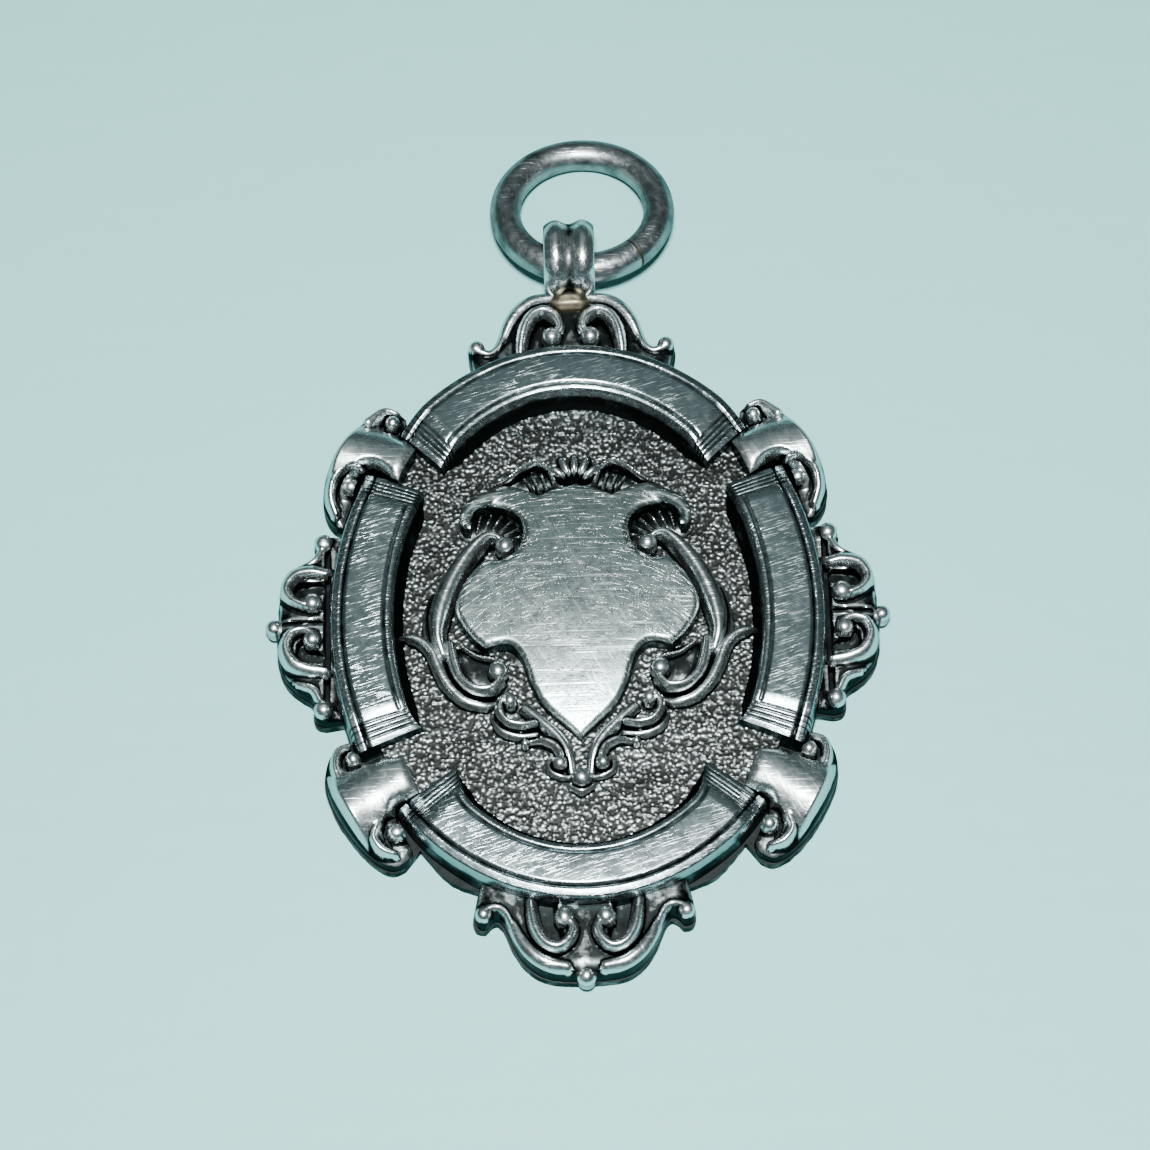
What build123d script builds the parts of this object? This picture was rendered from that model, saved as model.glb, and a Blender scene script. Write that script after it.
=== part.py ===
from build123d import *
import math
import os

# Silver fob medal with a bail and a jump ring, lying on its back.
# Millimetres. The origin is the centre of the oval on the back face,
# +X is to the right, +Y runs towards the ring, +Z is up out of the front.

# Levels of the stacked plates
back_top = 0.5         # top of the back plate
ground_top = 1.25      # top of the stippled front plate
banner_low = 2.2       # floor of the grooves in a banner
banner_field = 2.38    # polished field of a banner
banner_rim = 2.5       # raised wire along a banner's outer edge
shield_top = 2.25
finial_base = 1.35     # flat of a finial, under its scrolls
furl_top = 2.6
furl_radius = 3.7      # of the barrel-shaped crown of a furl

# Oval frame, semi-axes
oval_x = 10.6
oval_y = 13.05
plate_lap = 0.1        # how far the front plate stands in from the banners
band = 2.7             # width of a banner
rim_width = 0.4
groove_width = 0.25
border_width = 0.35

# Reeded lines across each banner end
reed_count = 4
reed_pitch = 0.26
reed_width = 0.1
reed_depth = 0.12

# Bail and ring
bail_y = 17.4          # axis of the bail's eye
bail_z = 2.04
bail_outer = 1.76
bail_inner = 1.32
bail_half_width = 1.15
bail_groove = 0.17     # depth of the groove between the two ridges
ring_radius = 3.47     # to the middle of the wire
wire_radius = 0.7
ring_offset_x = 0.64   # the ring has slid to one side
ring_hang = 0.6        # the wire stands this far off the eye's axis
ring_tilt = 12.2       # the far side of the ring has dropped to the table
seam_angle = -50.0     # where the ring was closed, in its own plane
seam_span = 1.8        # degrees of solder in the joint
seam_proud = 0.012     # solder stands this far off the wire

# Ends of the four banners: inner and outer corner, right-hand side
top_end = ((5.75, 7.15), (7.65, 8.95))
side_upper_end = ((6.6, 6.05), (9.25, 7.1))
side_lower_end = ((6.65, -5.0), (9.5, -6.2))
bottom_end = ((5.2, -6.85), (7.75, -8.75))

bend_share = 0.44      # share of a run that a bend may use

# Fan of lobes over the shield
crest_radius = 2.0
crest_lobes = 7
crest_step = 24.0      # degrees from one lobe to the next


def prism(outline, low, high):
    # Straight-walled solid between two heights
    return extrude(Pos(0, 0, low) * outline, high - low)


def mirrored(solid):
    # The same piece on the left-hand side
    return mirror(solid, about=Plane.YZ)


def route(points, height):
    # Straight runs joined by tangent arcs as large as the runs allow
    corners = [Vector(x, y, height) for x, y in points]
    if len(corners) == 2:
        return Line(*corners)
    radii = []
    for before, corner, after in zip(corners, corners[1:], corners[2:]):
        run = min((corner - before).length, (after - corner).length)
        turn = math.radians((corner - before).get_angle(after - corner))
        radii.append(bend_share * run / math.tan(turn / 2))
    return FilletPolyline(*corners, radius=radii)


def tube(points, radius, height):
    # Round rib along a flat route, with ball ends
    path = route(points, height)
    start = Plane(origin=path @ 0, z_dir=path % 0)
    rib = sweep(start * Circle(radius), path=path)
    for x, y in (points[0], points[-1]):
        rib += Pos(x, y, height) * Sphere(radius)
    return rib


def ball(x, y, radius, height):
    return Pos(x, y, height) * Sphere(radius)


def above(solid, level):
    # Cut away whatever lies under a level
    return solid - Pos(0, 0, level - 5) * Box(40, 50, 10)


def beyond(start, end, distance):
    # The point a given distance past the end of a line
    step = Vector(*end) - Vector(*start)
    point = Vector(*end) + step.normalized() * distance
    return (point.X, point.Y)


def oval(inset=0.0):
    return Ellipse(oval_x - inset, oval_y - inset)


def oval_band(outer, inner):
    return oval(outer) - oval(inner)


def middle_window(end, far_y):
    # Keeps the part of the oval between the two ends of the top or bottom banner
    inner = beyond(end[1], end[0], 2.0)
    outer = beyond(end[0], end[1], 3.0)
    right = [inner, outer, (outer[0], far_y)]
    left = [(-x, y) for x, y in reversed(right)]
    return Polygon(*right, *left, align=None)


def side_window():
    # Keeps the part of the oval between the two ends of the right-hand banner
    return Polygon(
        beyond(side_upper_end[1], side_upper_end[0], 1.0),
        beyond(*side_upper_end, 4.0),
        beyond(*side_lower_end, 4.0),
        beyond(side_lower_end[1], side_lower_end[0], 1.0),
        align=None,
    )


def reed_grooves(end, toward):
    # Parallel cuts beside a banner's end, stepping along its length
    start, stop = Vector(*end[0]), Vector(*end[1])
    along = (stop - start).normalized()
    across = Vector(-along.Y, along.X) * toward
    middle = (start + stop) * 0.5
    angle = math.degrees(math.atan2(along.Y, along.X))
    cuts = []
    for index in range(reed_count):
        place = middle + across * (reed_pitch * (index + 0.8))
        cut = Box(band + 1.5, reed_width, reed_depth * 2)
        cuts.append(Pos(place.X, place.Y, banner_rim) * Rot(0, 0, angle) * cut)
        cuts.append(Pos(place.X, place.Y, banner_field) * Rot(0, 0, angle) * cut)
    return cuts


def banner(window, ends):
    groove = rim_width + groove_width
    border = band - border_width
    solid = prism(oval_band(0, band) & window, ground_top, banner_low)
    solid += prism(oval_band(0, rim_width) & window, banner_low, banner_rim)
    solid += prism(oval_band(groove, border - groove_width) & window, banner_low, banner_field)
    solid += prism(oval_band(border, band) & window, banner_low, banner_field)
    for end, toward in ends:
        solid -= reed_grooves(end, toward)
    return solid


def flipped(end):
    # The same end on the left-hand side
    return tuple((-x, y) for x, y in end)


def top_banner():
    ends = [(top_end, 1), (flipped(top_end), -1)]
    return banner(middle_window(top_end, 16), ends)


def bottom_banner():
    ends = [(bottom_end, -1), (flipped(bottom_end), 1)]
    return banner(middle_window(bottom_end, -16), ends)


def right_banner():
    return banner(side_window(), [(side_upper_end, -1), (side_lower_end, 1)])


def upper_furl_outline():
    outer = Spline((7.45, 9.95), (8.25, 10.45), (9.8, 9.2), (10.65, 7.8), (10.95, 6.5), (10.1, 4.75))
    rest = Polyline((10.1, 4.75), (9.25, 7.1), (7.7, 6.55), (6.95, 7.95), (7.65, 8.95), (7.45, 9.95))
    return make_face(outer + rest)


def lower_furl_outline():
    outer = Spline((9.8, -5.3), (10.8, -6.6), (10.25, -8.8), (9.4, -10.0), (7.95, -11.0), (7.15, -10.3))
    rest = Polyline((7.15, -10.3), (7.75, -8.75), (6.85, -7.95), (7.5, -6.55), (9.5, -6.2), (9.8, -5.3))
    return make_face(outer + rest)


def furl(outline, x, y, angle):
    # A fold of ribbon: its crown is a barrel lying along the radius of the oval
    barrel = Pos(x, y, furl_top - furl_radius) * Rot(0, 0, angle) * Rot(0, 90, 0)
    return prism(outline, back_top, furl_top) & barrel * Cylinder(furl_radius, 14)


def top_finial_outline():
    dome = Spline(
        (3.3, 13.4), (2.7, 15.0), (1.5, 15.95), (0, 16.05),
        (-1.5, 15.95), (-2.7, 15.0), (-3.3, 13.4),
    )
    foot = Polyline((-3.3, 13.4), (-4.4, 13.2), (-4.4, 11.6), (4.4, 11.6), (4.4, 13.2), (3.3, 13.4))
    return make_face(dome + foot)


def bottom_finial_outline():
    bowl = Spline(
        (3.3, -13.3), (2.6, -14.7), (1.6, -15.7), (0, -15.95),
        (-1.6, -15.7), (-2.6, -14.7), (-3.3, -13.3),
    )
    foot = Polyline((-3.3, -13.3), (-4.3, -13.1), (-4.3, -11.6), (4.3, -11.6), (4.3, -13.1), (3.3, -13.3))
    return make_face(bowl + foot)


def side_finial_outline():
    leaf = Spline(
        (11.1, 3.4), (12.1, 2.85), (12.8, 1.3), (12.9, 0.0),
        (12.8, -1.4), (12.1, -2.7), (11.1, -3.2),
    )
    foot = Polyline((11.1, -3.2), (10.9, -4.0), (10.0, -4.0), (10.0, 3.9), (10.9, 3.9), (11.1, 3.4))
    return make_face(leaf + foot)


def end_finial(outline, scroll, horn):
    # Dome with a pair of scrolls and an upturned horn at each corner
    level = finial_base + 0.25
    rib = tube(scroll, 0.3, level) + ball(*scroll[-1], 0.42, level)
    knob = ball(*horn, 0.42, 1.15)
    solid = prism(outline, back_top, finial_base)
    for piece in (rib, mirrored(rib), knob, mirrored(knob)):
        solid += piece
    return solid


def top_finial():
    scroll = [
        (2.4, 13.3), (2.2, 14.5), (1.85, 15.2), (1.22, 15.45),
        (0.7, 15.15), (0.45, 14.6), (0.85, 13.85),
    ]
    return end_finial(top_finial_outline(), scroll, (4.15, 13.3))


def bottom_finial():
    scroll = [
        (2.4, -13.3), (2.2, -14.4), (1.8, -15.05), (1.2, -15.3),
        (0.7, -15.0), (0.45, -14.4), (0.85, -13.8),
    ]
    return end_finial(bottom_finial_outline(), scroll, (4.1, -13.2))


def side_finial():
    # Two scrolls back to back, with a knob at each end of the leaf
    solid = prism(side_finial_outline(), back_top, finial_base)
    level = finial_base + 0.2
    upper = [(10.9, 2.35), (11.7, 2.4), (12.35, 2.1), (12.5, 1.5), (12.1, 1.0), (11.4, 0.85)]
    lower = [(11.4, -0.65), (12.0, -0.45), (12.45, -0.85), (12.4, -1.5), (11.9, -2.0), (11.0, -2.2)]
    solid += tube(upper, 0.28, level) + tube(lower, 0.28, level)
    solid += ball(11.4, 0.85, 0.4, level) + ball(11.4, -0.65, 0.4, level)
    solid += ball(10.95, 3.9, 0.42, 1.1) + ball(10.95, -4.0, 0.42, 1.1)
    return solid


def shield_outline():
    # Right half of the shield, from its crown down to its tip
    crown = Spline((0, 6.2), (0.9, 5.98), (1.55, 5.68))
    shoulder = Spline(
        (1.55, 5.68), (2.3, 6.05), (3.2, 6.2), (4.1, 5.75),
        (4.75, 5.1), (5.0, 4.45), (4.75, 3.95),
    )
    hollow = Spline(
        (4.75, 3.95), (4.35, 4.3), (4.3, 4.95), (3.4, 5.1),
        (2.4, 4.5), (2.3, 3.5), (3.0, 2.65), (3.95, 2.65),
    )
    flank = Spline((3.95, 2.65), (4.6, 1.9), (5.2, 0.4), (4.6, -0.9), (4.0, -1.5))
    step = Spline((4.0, -1.5), (3.1, -1.4), (2.5, -1.85), (2.1, -3.1), (1.75, -3.85))
    tip = Spline((1.75, -3.85), (1.1, -4.5), (0, -5.6))
    middle = Line((0, -5.6), (0, 6.2))
    return make_face(crown + shoulder + hollow + flank + step + tip + middle)


def shield_plate():
    # Slightly domed plate: a large ball trims its top
    half = prism(shield_outline(), ground_top, shield_top + 0.1)
    dome = Pos(0, 0.5, shield_top - 60) * Sphere(60.05)
    return (half + mirrored(half)) & dome


def shell_crest():
    # Scalloped fan behind the shield's crown, with a leaf curling away at each side
    hub = Pos(0, 6.05)
    fan = hub * Circle(crest_radius - 0.25)
    for index in range(crest_lobes):
        angle = math.radians(90 + (index - (crest_lobes - 1) / 2) * crest_step)
        lobe = Pos((crest_radius - 0.3) * math.cos(angle), (crest_radius - 0.3) * math.sin(angle))
        fan += hub * lobe * Circle(0.38)
    solid = prism(fan, ground_top, 1.65)
    for side in (1, -1):
        leaf = trace(Spline((side * 1.2, 6.2), (side * 2.2, 6.75), (side * 3.2, 6.4)), 0.5)
        solid += prism(leaf, ground_top, 1.5)
    return solid


def arm():
    # Long rib down one side of the shield, starting in a ball
    points = [(3.15, 3.45), (3.85, 3.65), (4.75, 2.9), (5.55, 1.6), (5.98, 0.3), (6.05, -0.9)]
    return above(tube(points, 0.36, 1.6) + ball(3.1, 3.4, 0.42, 1.65), ground_top)


def lower_scroll():
    # C-scroll under the flank, with a leaf hooked out to the side
    curl = [(5.75, -1.9), (5.3, -2.9), (4.5, -3.45), (3.75, -3.35), (3.4, -2.7)]
    leaf = [(7.3, -0.7), (6.6, -0.95), (6.1, -1.6), (5.7, -2.7), (4.9, -3.6), (4.1, -3.9)]
    solid = tube(curl, 0.3, 1.65) + ball(3.4, -2.6, 0.42, 1.6) + tube(leaf, 0.3, 1.4)
    return above(solid, ground_top)


def small_scroll():
    # Second and third scrolls, down to the bead under the shield's tip
    second = [(3.0, -3.85), (3.55, -4.2), (3.3, -4.9), (2.6, -5.15), (1.9, -4.95)]
    third = [(2.4, -5.8), (1.65, -5.65), (1.0, -6.0), (0.88, -6.7)]
    spine = [(2.2, -4.3), (1.3, -5.1), (0.65, -6.05), (0.45, -7.05)]
    solid = tube(second, 0.3, 1.5) + tube(third, 0.27, 1.47) + tube(spine, 0.3, 1.42)
    solid += ball(3.0, -3.8, 0.38, 1.55) + ball(0.9, -6.72, 0.34, 1.5)
    return above(solid, ground_top)


def cartouche_bead():
    solid = ball(0, -7.4, 0.42, 1.55) + prism(Pos(0, -7.5) * Circle(0.55), ground_top, 1.4)
    return above(solid, ground_top)


def bail_loop():
    # Strap bent into a closed eye: two rounded ridges with a groove between them
    edge = bail_outer - 0.18
    groove = bail_outer - bail_groove
    ridge = bail_half_width / 2
    profile = Line((-bail_half_width, bail_inner), (-bail_half_width, edge))
    profile += ThreePointArc((-bail_half_width, edge), (-ridge, bail_outer), (0, groove))
    profile += ThreePointArc((0, groove), (ridge, bail_outer), (bail_half_width, edge))
    profile += Line((bail_half_width, edge), (bail_half_width, bail_inner))
    profile += Line((bail_half_width, bail_inner), (-bail_half_width, bail_inner))
    return Pos(0, bail_y, bail_z) * revolve(make_face(profile), Axis.X)


def bail_solder():
    # Fillet of solder where the strap sits on the top finial
    return Pos(0, 15.6, 1.5) * Rot(0, 90, 0) * Cylinder(0.58, 1.7)


def ring_plane():
    # The ring's own plane: x to the right, y towards the far side of the ring
    tilt = math.radians(ring_tilt)
    reach = ring_radius - ring_hang
    middle = (ring_offset_x, bail_y + reach * math.cos(tilt), bail_z - reach * math.sin(tilt))
    return Plane(origin=middle, x_dir=(1, 0, 0), z_dir=(0, math.sin(tilt), math.cos(tilt)))


def ring_arc(start, span, radius):
    # A stretch of the wire, from one angle round through a span
    section = Plane.XZ * Pos(ring_radius, 0) * Circle(radius)
    return ring_plane() * Rot(0, 0, start) * revolve(section, Axis.Z, span)


def build():
    pieces = {}
    pieces["banner_top"] = top_banner()
    pieces["banner_bottom"] = bottom_banner()
    pieces["banner_right"] = right_banner()
    front = prism(oval(plate_lap), back_top, ground_top)
    banners = [pieces["banner_top"], pieces["banner_bottom"], pieces["banner_right"]]
    pieces["furl_top_right"] = furl(upper_furl_outline(), 9.0, 7.7, 16) - front - banners
    pieces["furl_bottom_right"] = furl(lower_furl_outline(), 9.0, -8.1, -32) - front - banners
    pieces["bail_loop"] = bail_loop()
    eye = Pos(0, bail_y, bail_z) * Rot(0, 90, 0) * Cylinder(bail_outer, 2 * bail_half_width)
    pieces["finial_top"] = above(top_finial(), back_top) - front - banners - eye
    pieces["finial_bottom"] = above(bottom_finial(), back_top) - front - banners
    pieces["finial_right"] = above(side_finial(), back_top) - front - banners
    pieces["bead_bottom"] = above(ball(0, -16.02, 0.45, 1.0), back_top) - pieces["finial_bottom"]
    pieces["bead_right"] = above(ball(13.1, 0.05, 0.38, 1.0), back_top) - pieces["finial_right"]
    pieces["bail_solder"] = above(bail_solder(), finial_base) - pieces["finial_top"] - eye
    pieces["front_plate"] = front
    outline = oval() + top_finial_outline() + bottom_finial_outline()
    for half in (upper_furl_outline(), lower_furl_outline(), side_finial_outline()):
        outline += half + mirror(half, about=Plane.YZ)
    pieces["back_plate"] = prism(outline, 0, back_top)
    pieces["shield_plate"] = shield_plate()
    shield = pieces["shield_plate"]
    pieces["shell_crest"] = shell_crest() - shield
    pieces["cartouche_bead"] = cartouche_bead()
    pieces["arm_right"] = arm() - shield
    pieces["lower_scroll_right"] = lower_scroll() - shield - pieces["arm_right"]
    small = small_scroll() - shield - pieces["lower_scroll_right"]
    pieces["small_scroll_right"] = small - pieces["cartouche_bead"]
    pieces["jump_ring"] = ring_arc(seam_angle + seam_span / 2, 360 - seam_span, wire_radius)
    pieces["ring_solder"] = ring_arc(seam_angle - seam_span / 2, seam_span, wire_radius + seam_proud)
    for name in [name for name in pieces if name.endswith("_right")]:
        pieces[name.replace("_right", "_left")] = mirrored(pieces[name])
    return pieces


os.makedirs("parts", exist_ok=True)
for name, solid in build().items():
    export_step(solid, f"parts/{name}.step")
    print(name, round(solid.volume, 2), len(solid.solids()))
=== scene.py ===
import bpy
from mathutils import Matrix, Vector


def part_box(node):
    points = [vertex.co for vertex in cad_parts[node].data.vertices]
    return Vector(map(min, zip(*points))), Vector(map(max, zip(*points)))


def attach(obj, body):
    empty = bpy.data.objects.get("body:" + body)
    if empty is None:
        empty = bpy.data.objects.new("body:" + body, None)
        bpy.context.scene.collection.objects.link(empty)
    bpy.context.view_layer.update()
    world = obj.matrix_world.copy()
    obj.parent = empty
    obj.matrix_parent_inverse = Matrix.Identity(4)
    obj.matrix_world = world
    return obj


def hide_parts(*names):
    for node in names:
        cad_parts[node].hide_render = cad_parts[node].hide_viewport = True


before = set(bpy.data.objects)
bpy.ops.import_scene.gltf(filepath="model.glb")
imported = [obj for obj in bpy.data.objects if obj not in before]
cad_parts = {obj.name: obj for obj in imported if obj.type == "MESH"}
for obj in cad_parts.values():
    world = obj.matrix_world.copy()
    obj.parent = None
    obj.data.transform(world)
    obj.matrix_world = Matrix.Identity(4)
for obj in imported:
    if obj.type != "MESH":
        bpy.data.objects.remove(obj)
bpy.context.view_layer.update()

import math

import bpy
import numpy as np
from mathutils import Matrix, Vector
from mathutils.geometry import delaunay_2d_cdt

# The medal lies on its back and its ring points to +Y. Shapes are worked out in
# millimetres, x to the right and y towards the ring, and become metres when a piece is finished.
millimetre = 0.001
groundLevel = 1.25        # top of the stippled oval
backLevel = 0.5           # seam between the front and the back plate
ovalX, ovalY = 10.65, 13.05
innerX, innerY = 7.9, 10.6


def newShaderGroup(name, inputs, outputs):
    group = bpy.data.node_groups.new(name, "ShaderNodeTree")
    for label, value in inputs.items():
        kind = "NodeSocketColor" if isinstance(value, tuple) else "NodeSocketFloat"
        socket = group.interface.new_socket(label, in_out="INPUT", socket_type=kind)
        socket.default_value = value
    for label, kind in outputs.items():
        group.interface.new_socket(label, in_out="OUTPUT", socket_type=kind)
    return group, group.nodes.new("NodeGroupInput"), group.nodes.new("NodeGroupOutput")


def addNode(tree, kind, values=None, **settings):
    node = tree.nodes.new(kind)
    for key, value in settings.items():
        setattr(node, key, value)
    for label, value in (values or {}).items():
        node.inputs[label].default_value = value
    return node


def addMath(tree, operation, first, second=None, clamp=False):
    node = addNode(tree, "ShaderNodeMath", operation=operation, use_clamp=clamp)
    for index, value in enumerate((first, second)):
        if value is None:
            continue
        if isinstance(value, (int, float)):
            node.inputs[index].default_value = value
        else:
            tree.links.new(value, node.inputs[index])
    return node.outputs[0]


def addRange(tree, value, low, high, toLow=0.0, toHigh=1.0):
    values = {"From Min": low, "From Max": high, "To Min": toLow, "To Max": toHigh}
    node = addNode(tree, "ShaderNodeMapRange", values)
    tree.links.new(value, node.inputs["Value"])
    return node.outputs["Result"]


def makeScratchGroup():
    # Fine hairlines running one way, broken up into patches
    group, source, result = newShaderGroup(
        "hairlineScratches",
        {"Density": 9000.0, "Stretch": 22.0, "Angle": 0.0, "Patchiness": 700.0},
        {"Lines": "NodeSocketFloat"},
    )
    links = group.links
    place = addNode(group, "ShaderNodeTexCoord")
    turn = addNode(group, "ShaderNodeVectorRotate", rotation_type="Z_AXIS")
    links.new(place.outputs["Object"], turn.inputs["Vector"])
    links.new(source.outputs["Angle"], turn.inputs["Angle"])
    scale = addNode(group, "ShaderNodeCombineXYZ")
    links.new(addMath(group, "DIVIDE", 1.0, source.outputs["Stretch"]), scale.inputs["X"])
    scale.inputs["Y"].default_value = 1.0
    scale.inputs["Z"].default_value = 1.0
    squeeze = addNode(group, "ShaderNodeVectorMath", operation="MULTIPLY")
    links.new(turn.outputs["Vector"], squeeze.inputs[0])
    links.new(scale.outputs["Vector"], squeeze.inputs[1])
    fine = addNode(group, "ShaderNodeTexNoise", {"Detail": 2.0, "Roughness": 0.6})
    links.new(squeeze.outputs["Vector"], fine.inputs["Vector"])
    links.new(source.outputs["Density"], fine.inputs["Scale"])
    patches = addNode(group, "ShaderNodeTexNoise", {"Detail": 2.0})
    links.new(place.outputs["Object"], patches.inputs["Vector"])
    links.new(source.outputs["Patchiness"], patches.inputs["Scale"])
    lines = addRange(group, fine.outputs["Fac"], 0.55, 0.68)
    where = addRange(group, patches.outputs["Fac"], 0.36, 0.62, 0.35, 1.0)
    links.new(addMath(group, "MULTIPLY", lines, where), result.inputs["Lines"])
    return group


def makeArcGroup():
    # Hand-rubbed scratches that run in arcs round a centre
    group, source, result = newShaderGroup(
        "rubbedArcs",
        {"Centre X": 0.0, "Centre Y": 0.0, "Density": 5000.0, "Length": 6.0},
        {"Lines": "NodeSocketFloat", "Broad": "NodeSocketFloat"},
    )
    links = group.links
    place = addNode(group, "ShaderNodeTexCoord")
    parts = addNode(group, "ShaderNodeSeparateXYZ")
    links.new(place.outputs["Object"], parts.inputs["Vector"])
    across = addMath(group, "SUBTRACT", parts.outputs["X"], source.outputs["Centre X"])
    up = addMath(group, "SUBTRACT", parts.outputs["Y"], source.outputs["Centre Y"])
    acrossSquare = addMath(group, "MULTIPLY", across, across)
    upSquare = addMath(group, "MULTIPLY", up, up)
    radius = addMath(group, "SQRT", addMath(group, "ADD", acrossSquare, upSquare))
    angle = addMath(group, "ARCTAN2", across, up)
    polar = addNode(group, "ShaderNodeCombineXYZ")
    links.new(addMath(group, "MULTIPLY", radius, source.outputs["Density"]), polar.inputs["X"])
    links.new(addMath(group, "MULTIPLY", angle, source.outputs["Length"]), polar.inputs["Y"])
    fine = addNode(group, "ShaderNodeTexNoise", {"Scale": 1.0, "Detail": 3.0, "Roughness": 0.65})
    links.new(polar.outputs["Vector"], fine.inputs["Vector"])
    links.new(addRange(group, fine.outputs["Fac"], 0.57, 0.66), result.inputs["Lines"])
    links.new(addRange(group, fine.outputs["Fac"], 0.3, 0.7), result.inputs["Broad"])
    return group


def makeTarnishAndShadeGroup():
    # Darkens the colour where the vertex attribute is high: real oxide in the hollows, painted shade on
    # side walls, rolled edges, banner ends and skirts, and the back sheet darkened all over; bright metal
    # where it is low
    group, source, result = newShaderGroup(
        "tarnishAndShade",
        {"Bright": (0.8, 0.84, 0.83, 1.0), "Dark": (0.02, 0.024, 0.024, 1.0), "Reach": 0.6,
         "Mottle": 1600.0},
        {"Color": "NodeSocketColor", "Mask": "NodeSocketFloat"},
    )
    links = group.links
    oxideAndShade = addNode(group, "ShaderNodeAttribute", attribute_name="oxideAndShade")
    place = addNode(group, "ShaderNodeTexCoord")
    noise = addNode(group, "ShaderNodeTexNoise", {"Detail": 5.0, "Roughness": 0.6})
    links.new(place.outputs["Object"], noise.inputs["Vector"])
    links.new(source.outputs["Mottle"], noise.inputs["Scale"])
    patchy = addRange(group, noise.outputs["Fac"], 0.3, 0.7, -0.22, 0.22)
    depth = addMath(group, "ADD", oxideAndShade.outputs["Fac"], patchy)
    mask = addNode(group, "ShaderNodeMapRange", {"From Min": 0.0}, interpolation_type="SMOOTHSTEP")
    links.new(depth, mask.inputs["Value"])
    links.new(source.outputs["Reach"], mask.inputs["From Max"])
    mix = addNode(group, "ShaderNodeMix", data_type="RGBA")
    links.new(mask.outputs["Result"], mix.inputs["Factor"])
    links.new(source.outputs["Bright"], mix.inputs["A"])
    links.new(source.outputs["Dark"], mix.inputs["B"])
    links.new(mix.outputs["Result"], result.inputs["Color"])
    links.new(mask.outputs["Result"], result.inputs["Mask"])
    return group


scratchGroup = makeScratchGroup()
arcGroup = makeArcGroup()
tarnishAndShadeGroup = makeTarnishAndShadeGroup()


def placeGroup(tree, group, values):
    node = addNode(tree, "ShaderNodeGroup", node_tree=group)
    for label, value in values.items():
        node.inputs[label].default_value = value
    return node


bumpDepth = 0.00002       # metres
crossing = {"density": 0.6, "stretch": 0.7, "turn": 1.1, "patchiness": 450.0}


def makeSilver(name, settings):
    # One silver finish: tarnish in the hollows and painted shade on walls and edges, hairlines two ways
    # with a painted glint, rubbed arcs, fine pits
    material = bpy.data.materials.new(name)
    material.use_nodes = True
    tree = material.node_tree
    links = tree.links
    shader = tree.nodes["Principled BSDF"]
    shader.inputs["Metallic"].default_value = 1.0
    shader.inputs["Specular Tint"].default_value = settings["edgeTint"]
    tarnishAndShade = placeGroup(tree, tarnishAndShadeGroup, {
        "Bright": settings["bright"], "Dark": settings["dark"],
        "Reach": settings["reach"], "Mottle": settings["mottle"],
    })
    along = placeGroup(tree, scratchGroup, {
        "Density": settings["density"], "Stretch": settings["stretch"], "Angle": settings["angle"],
    })
    across = placeGroup(tree, scratchGroup, {
        "Density": settings["density"] * crossing["density"],
        "Stretch": settings["stretch"] * crossing["stretch"],
        "Angle": settings["angle"] + crossing["turn"], "Patchiness": crossing["patchiness"],
    })
    arcs = placeGroup(tree, arcGroup, {
        "Centre X": settings["arcX"], "Centre Y": settings["arcY"],
        "Density": settings["arcDensity"], "Length": settings["arcLength"],
    })
    crossed = addMath(tree, "MULTIPLY", across.outputs["Lines"], settings["crossShare"])
    straight = addMath(tree, "MAXIMUM", along.outputs["Lines"], crossed)
    straight = addMath(tree, "MULTIPLY", straight, settings["straightShare"])
    rubbed = addMath(tree, "MULTIPLY", arcs.outputs["Lines"], settings["arcShare"])
    lines = addMath(tree, "MAXIMUM", straight, rubbed)
    outsideTarnishAndShade = addMath(tree, "SUBTRACT", 1.0, tarnishAndShade.outputs["Mask"])
    lines = addMath(tree, "MULTIPLY", lines, outsideTarnishAndShade)
    place = addNode(tree, "ShaderNodeTexCoord")
    pits = addNode(tree, "ShaderNodeTexNoise", {"Scale": settings["pitScale"], "Detail": 4.0,
                                                "Roughness": 0.65})
    links.new(place.outputs["Object"], pits.inputs["Vector"])
    # The scratches are real marks in bump and roughness; their lighter colour is a painted glint
    glintMark = addMath(tree, "MULTIPLY", lines, settings["glintTint"])
    glintMix = addNode(tree, "ShaderNodeMix", {"B": settings["glintColor"]}, data_type="RGBA")
    links.new(glintMark, glintMix.inputs["Factor"])
    links.new(tarnishAndShade.outputs["Color"], glintMix.inputs["A"])
    links.new(glintMix.outputs["Result"], shader.inputs["Base Color"])
    rough = addRange(tree, pits.outputs["Fac"], 0.3, 0.7, settings["smooth"], settings["rough"])
    tarnishAndShadeRough = addMath(tree, "MULTIPLY", tarnishAndShade.outputs["Mask"], settings["tarnishAndShadeRough"])
    lineRough = addMath(tree, "MULTIPLY", lines, settings["lineRough"])
    rough = addMath(tree, "ADD", rough, tarnishAndShadeRough)
    rough = addMath(tree, "ADD", rough, lineRough, clamp=True)
    links.new(rough, shader.inputs["Roughness"])
    height = addMath(tree, "MULTIPLY", lines, -settings["lineDepth"])
    pitHeight = addMath(tree, "MULTIPLY", pits.outputs["Fac"], settings["pitDepth"])
    height = addMath(tree, "ADD", height, pitHeight)
    bump = addNode(tree, "ShaderNodeBump", {"Strength": settings["bump"], "Distance": bumpDepth})
    links.new(height, bump.inputs["Height"])
    links.new(bump.outputs["Normal"], shader.inputs["Normal"])
    return material


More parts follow.
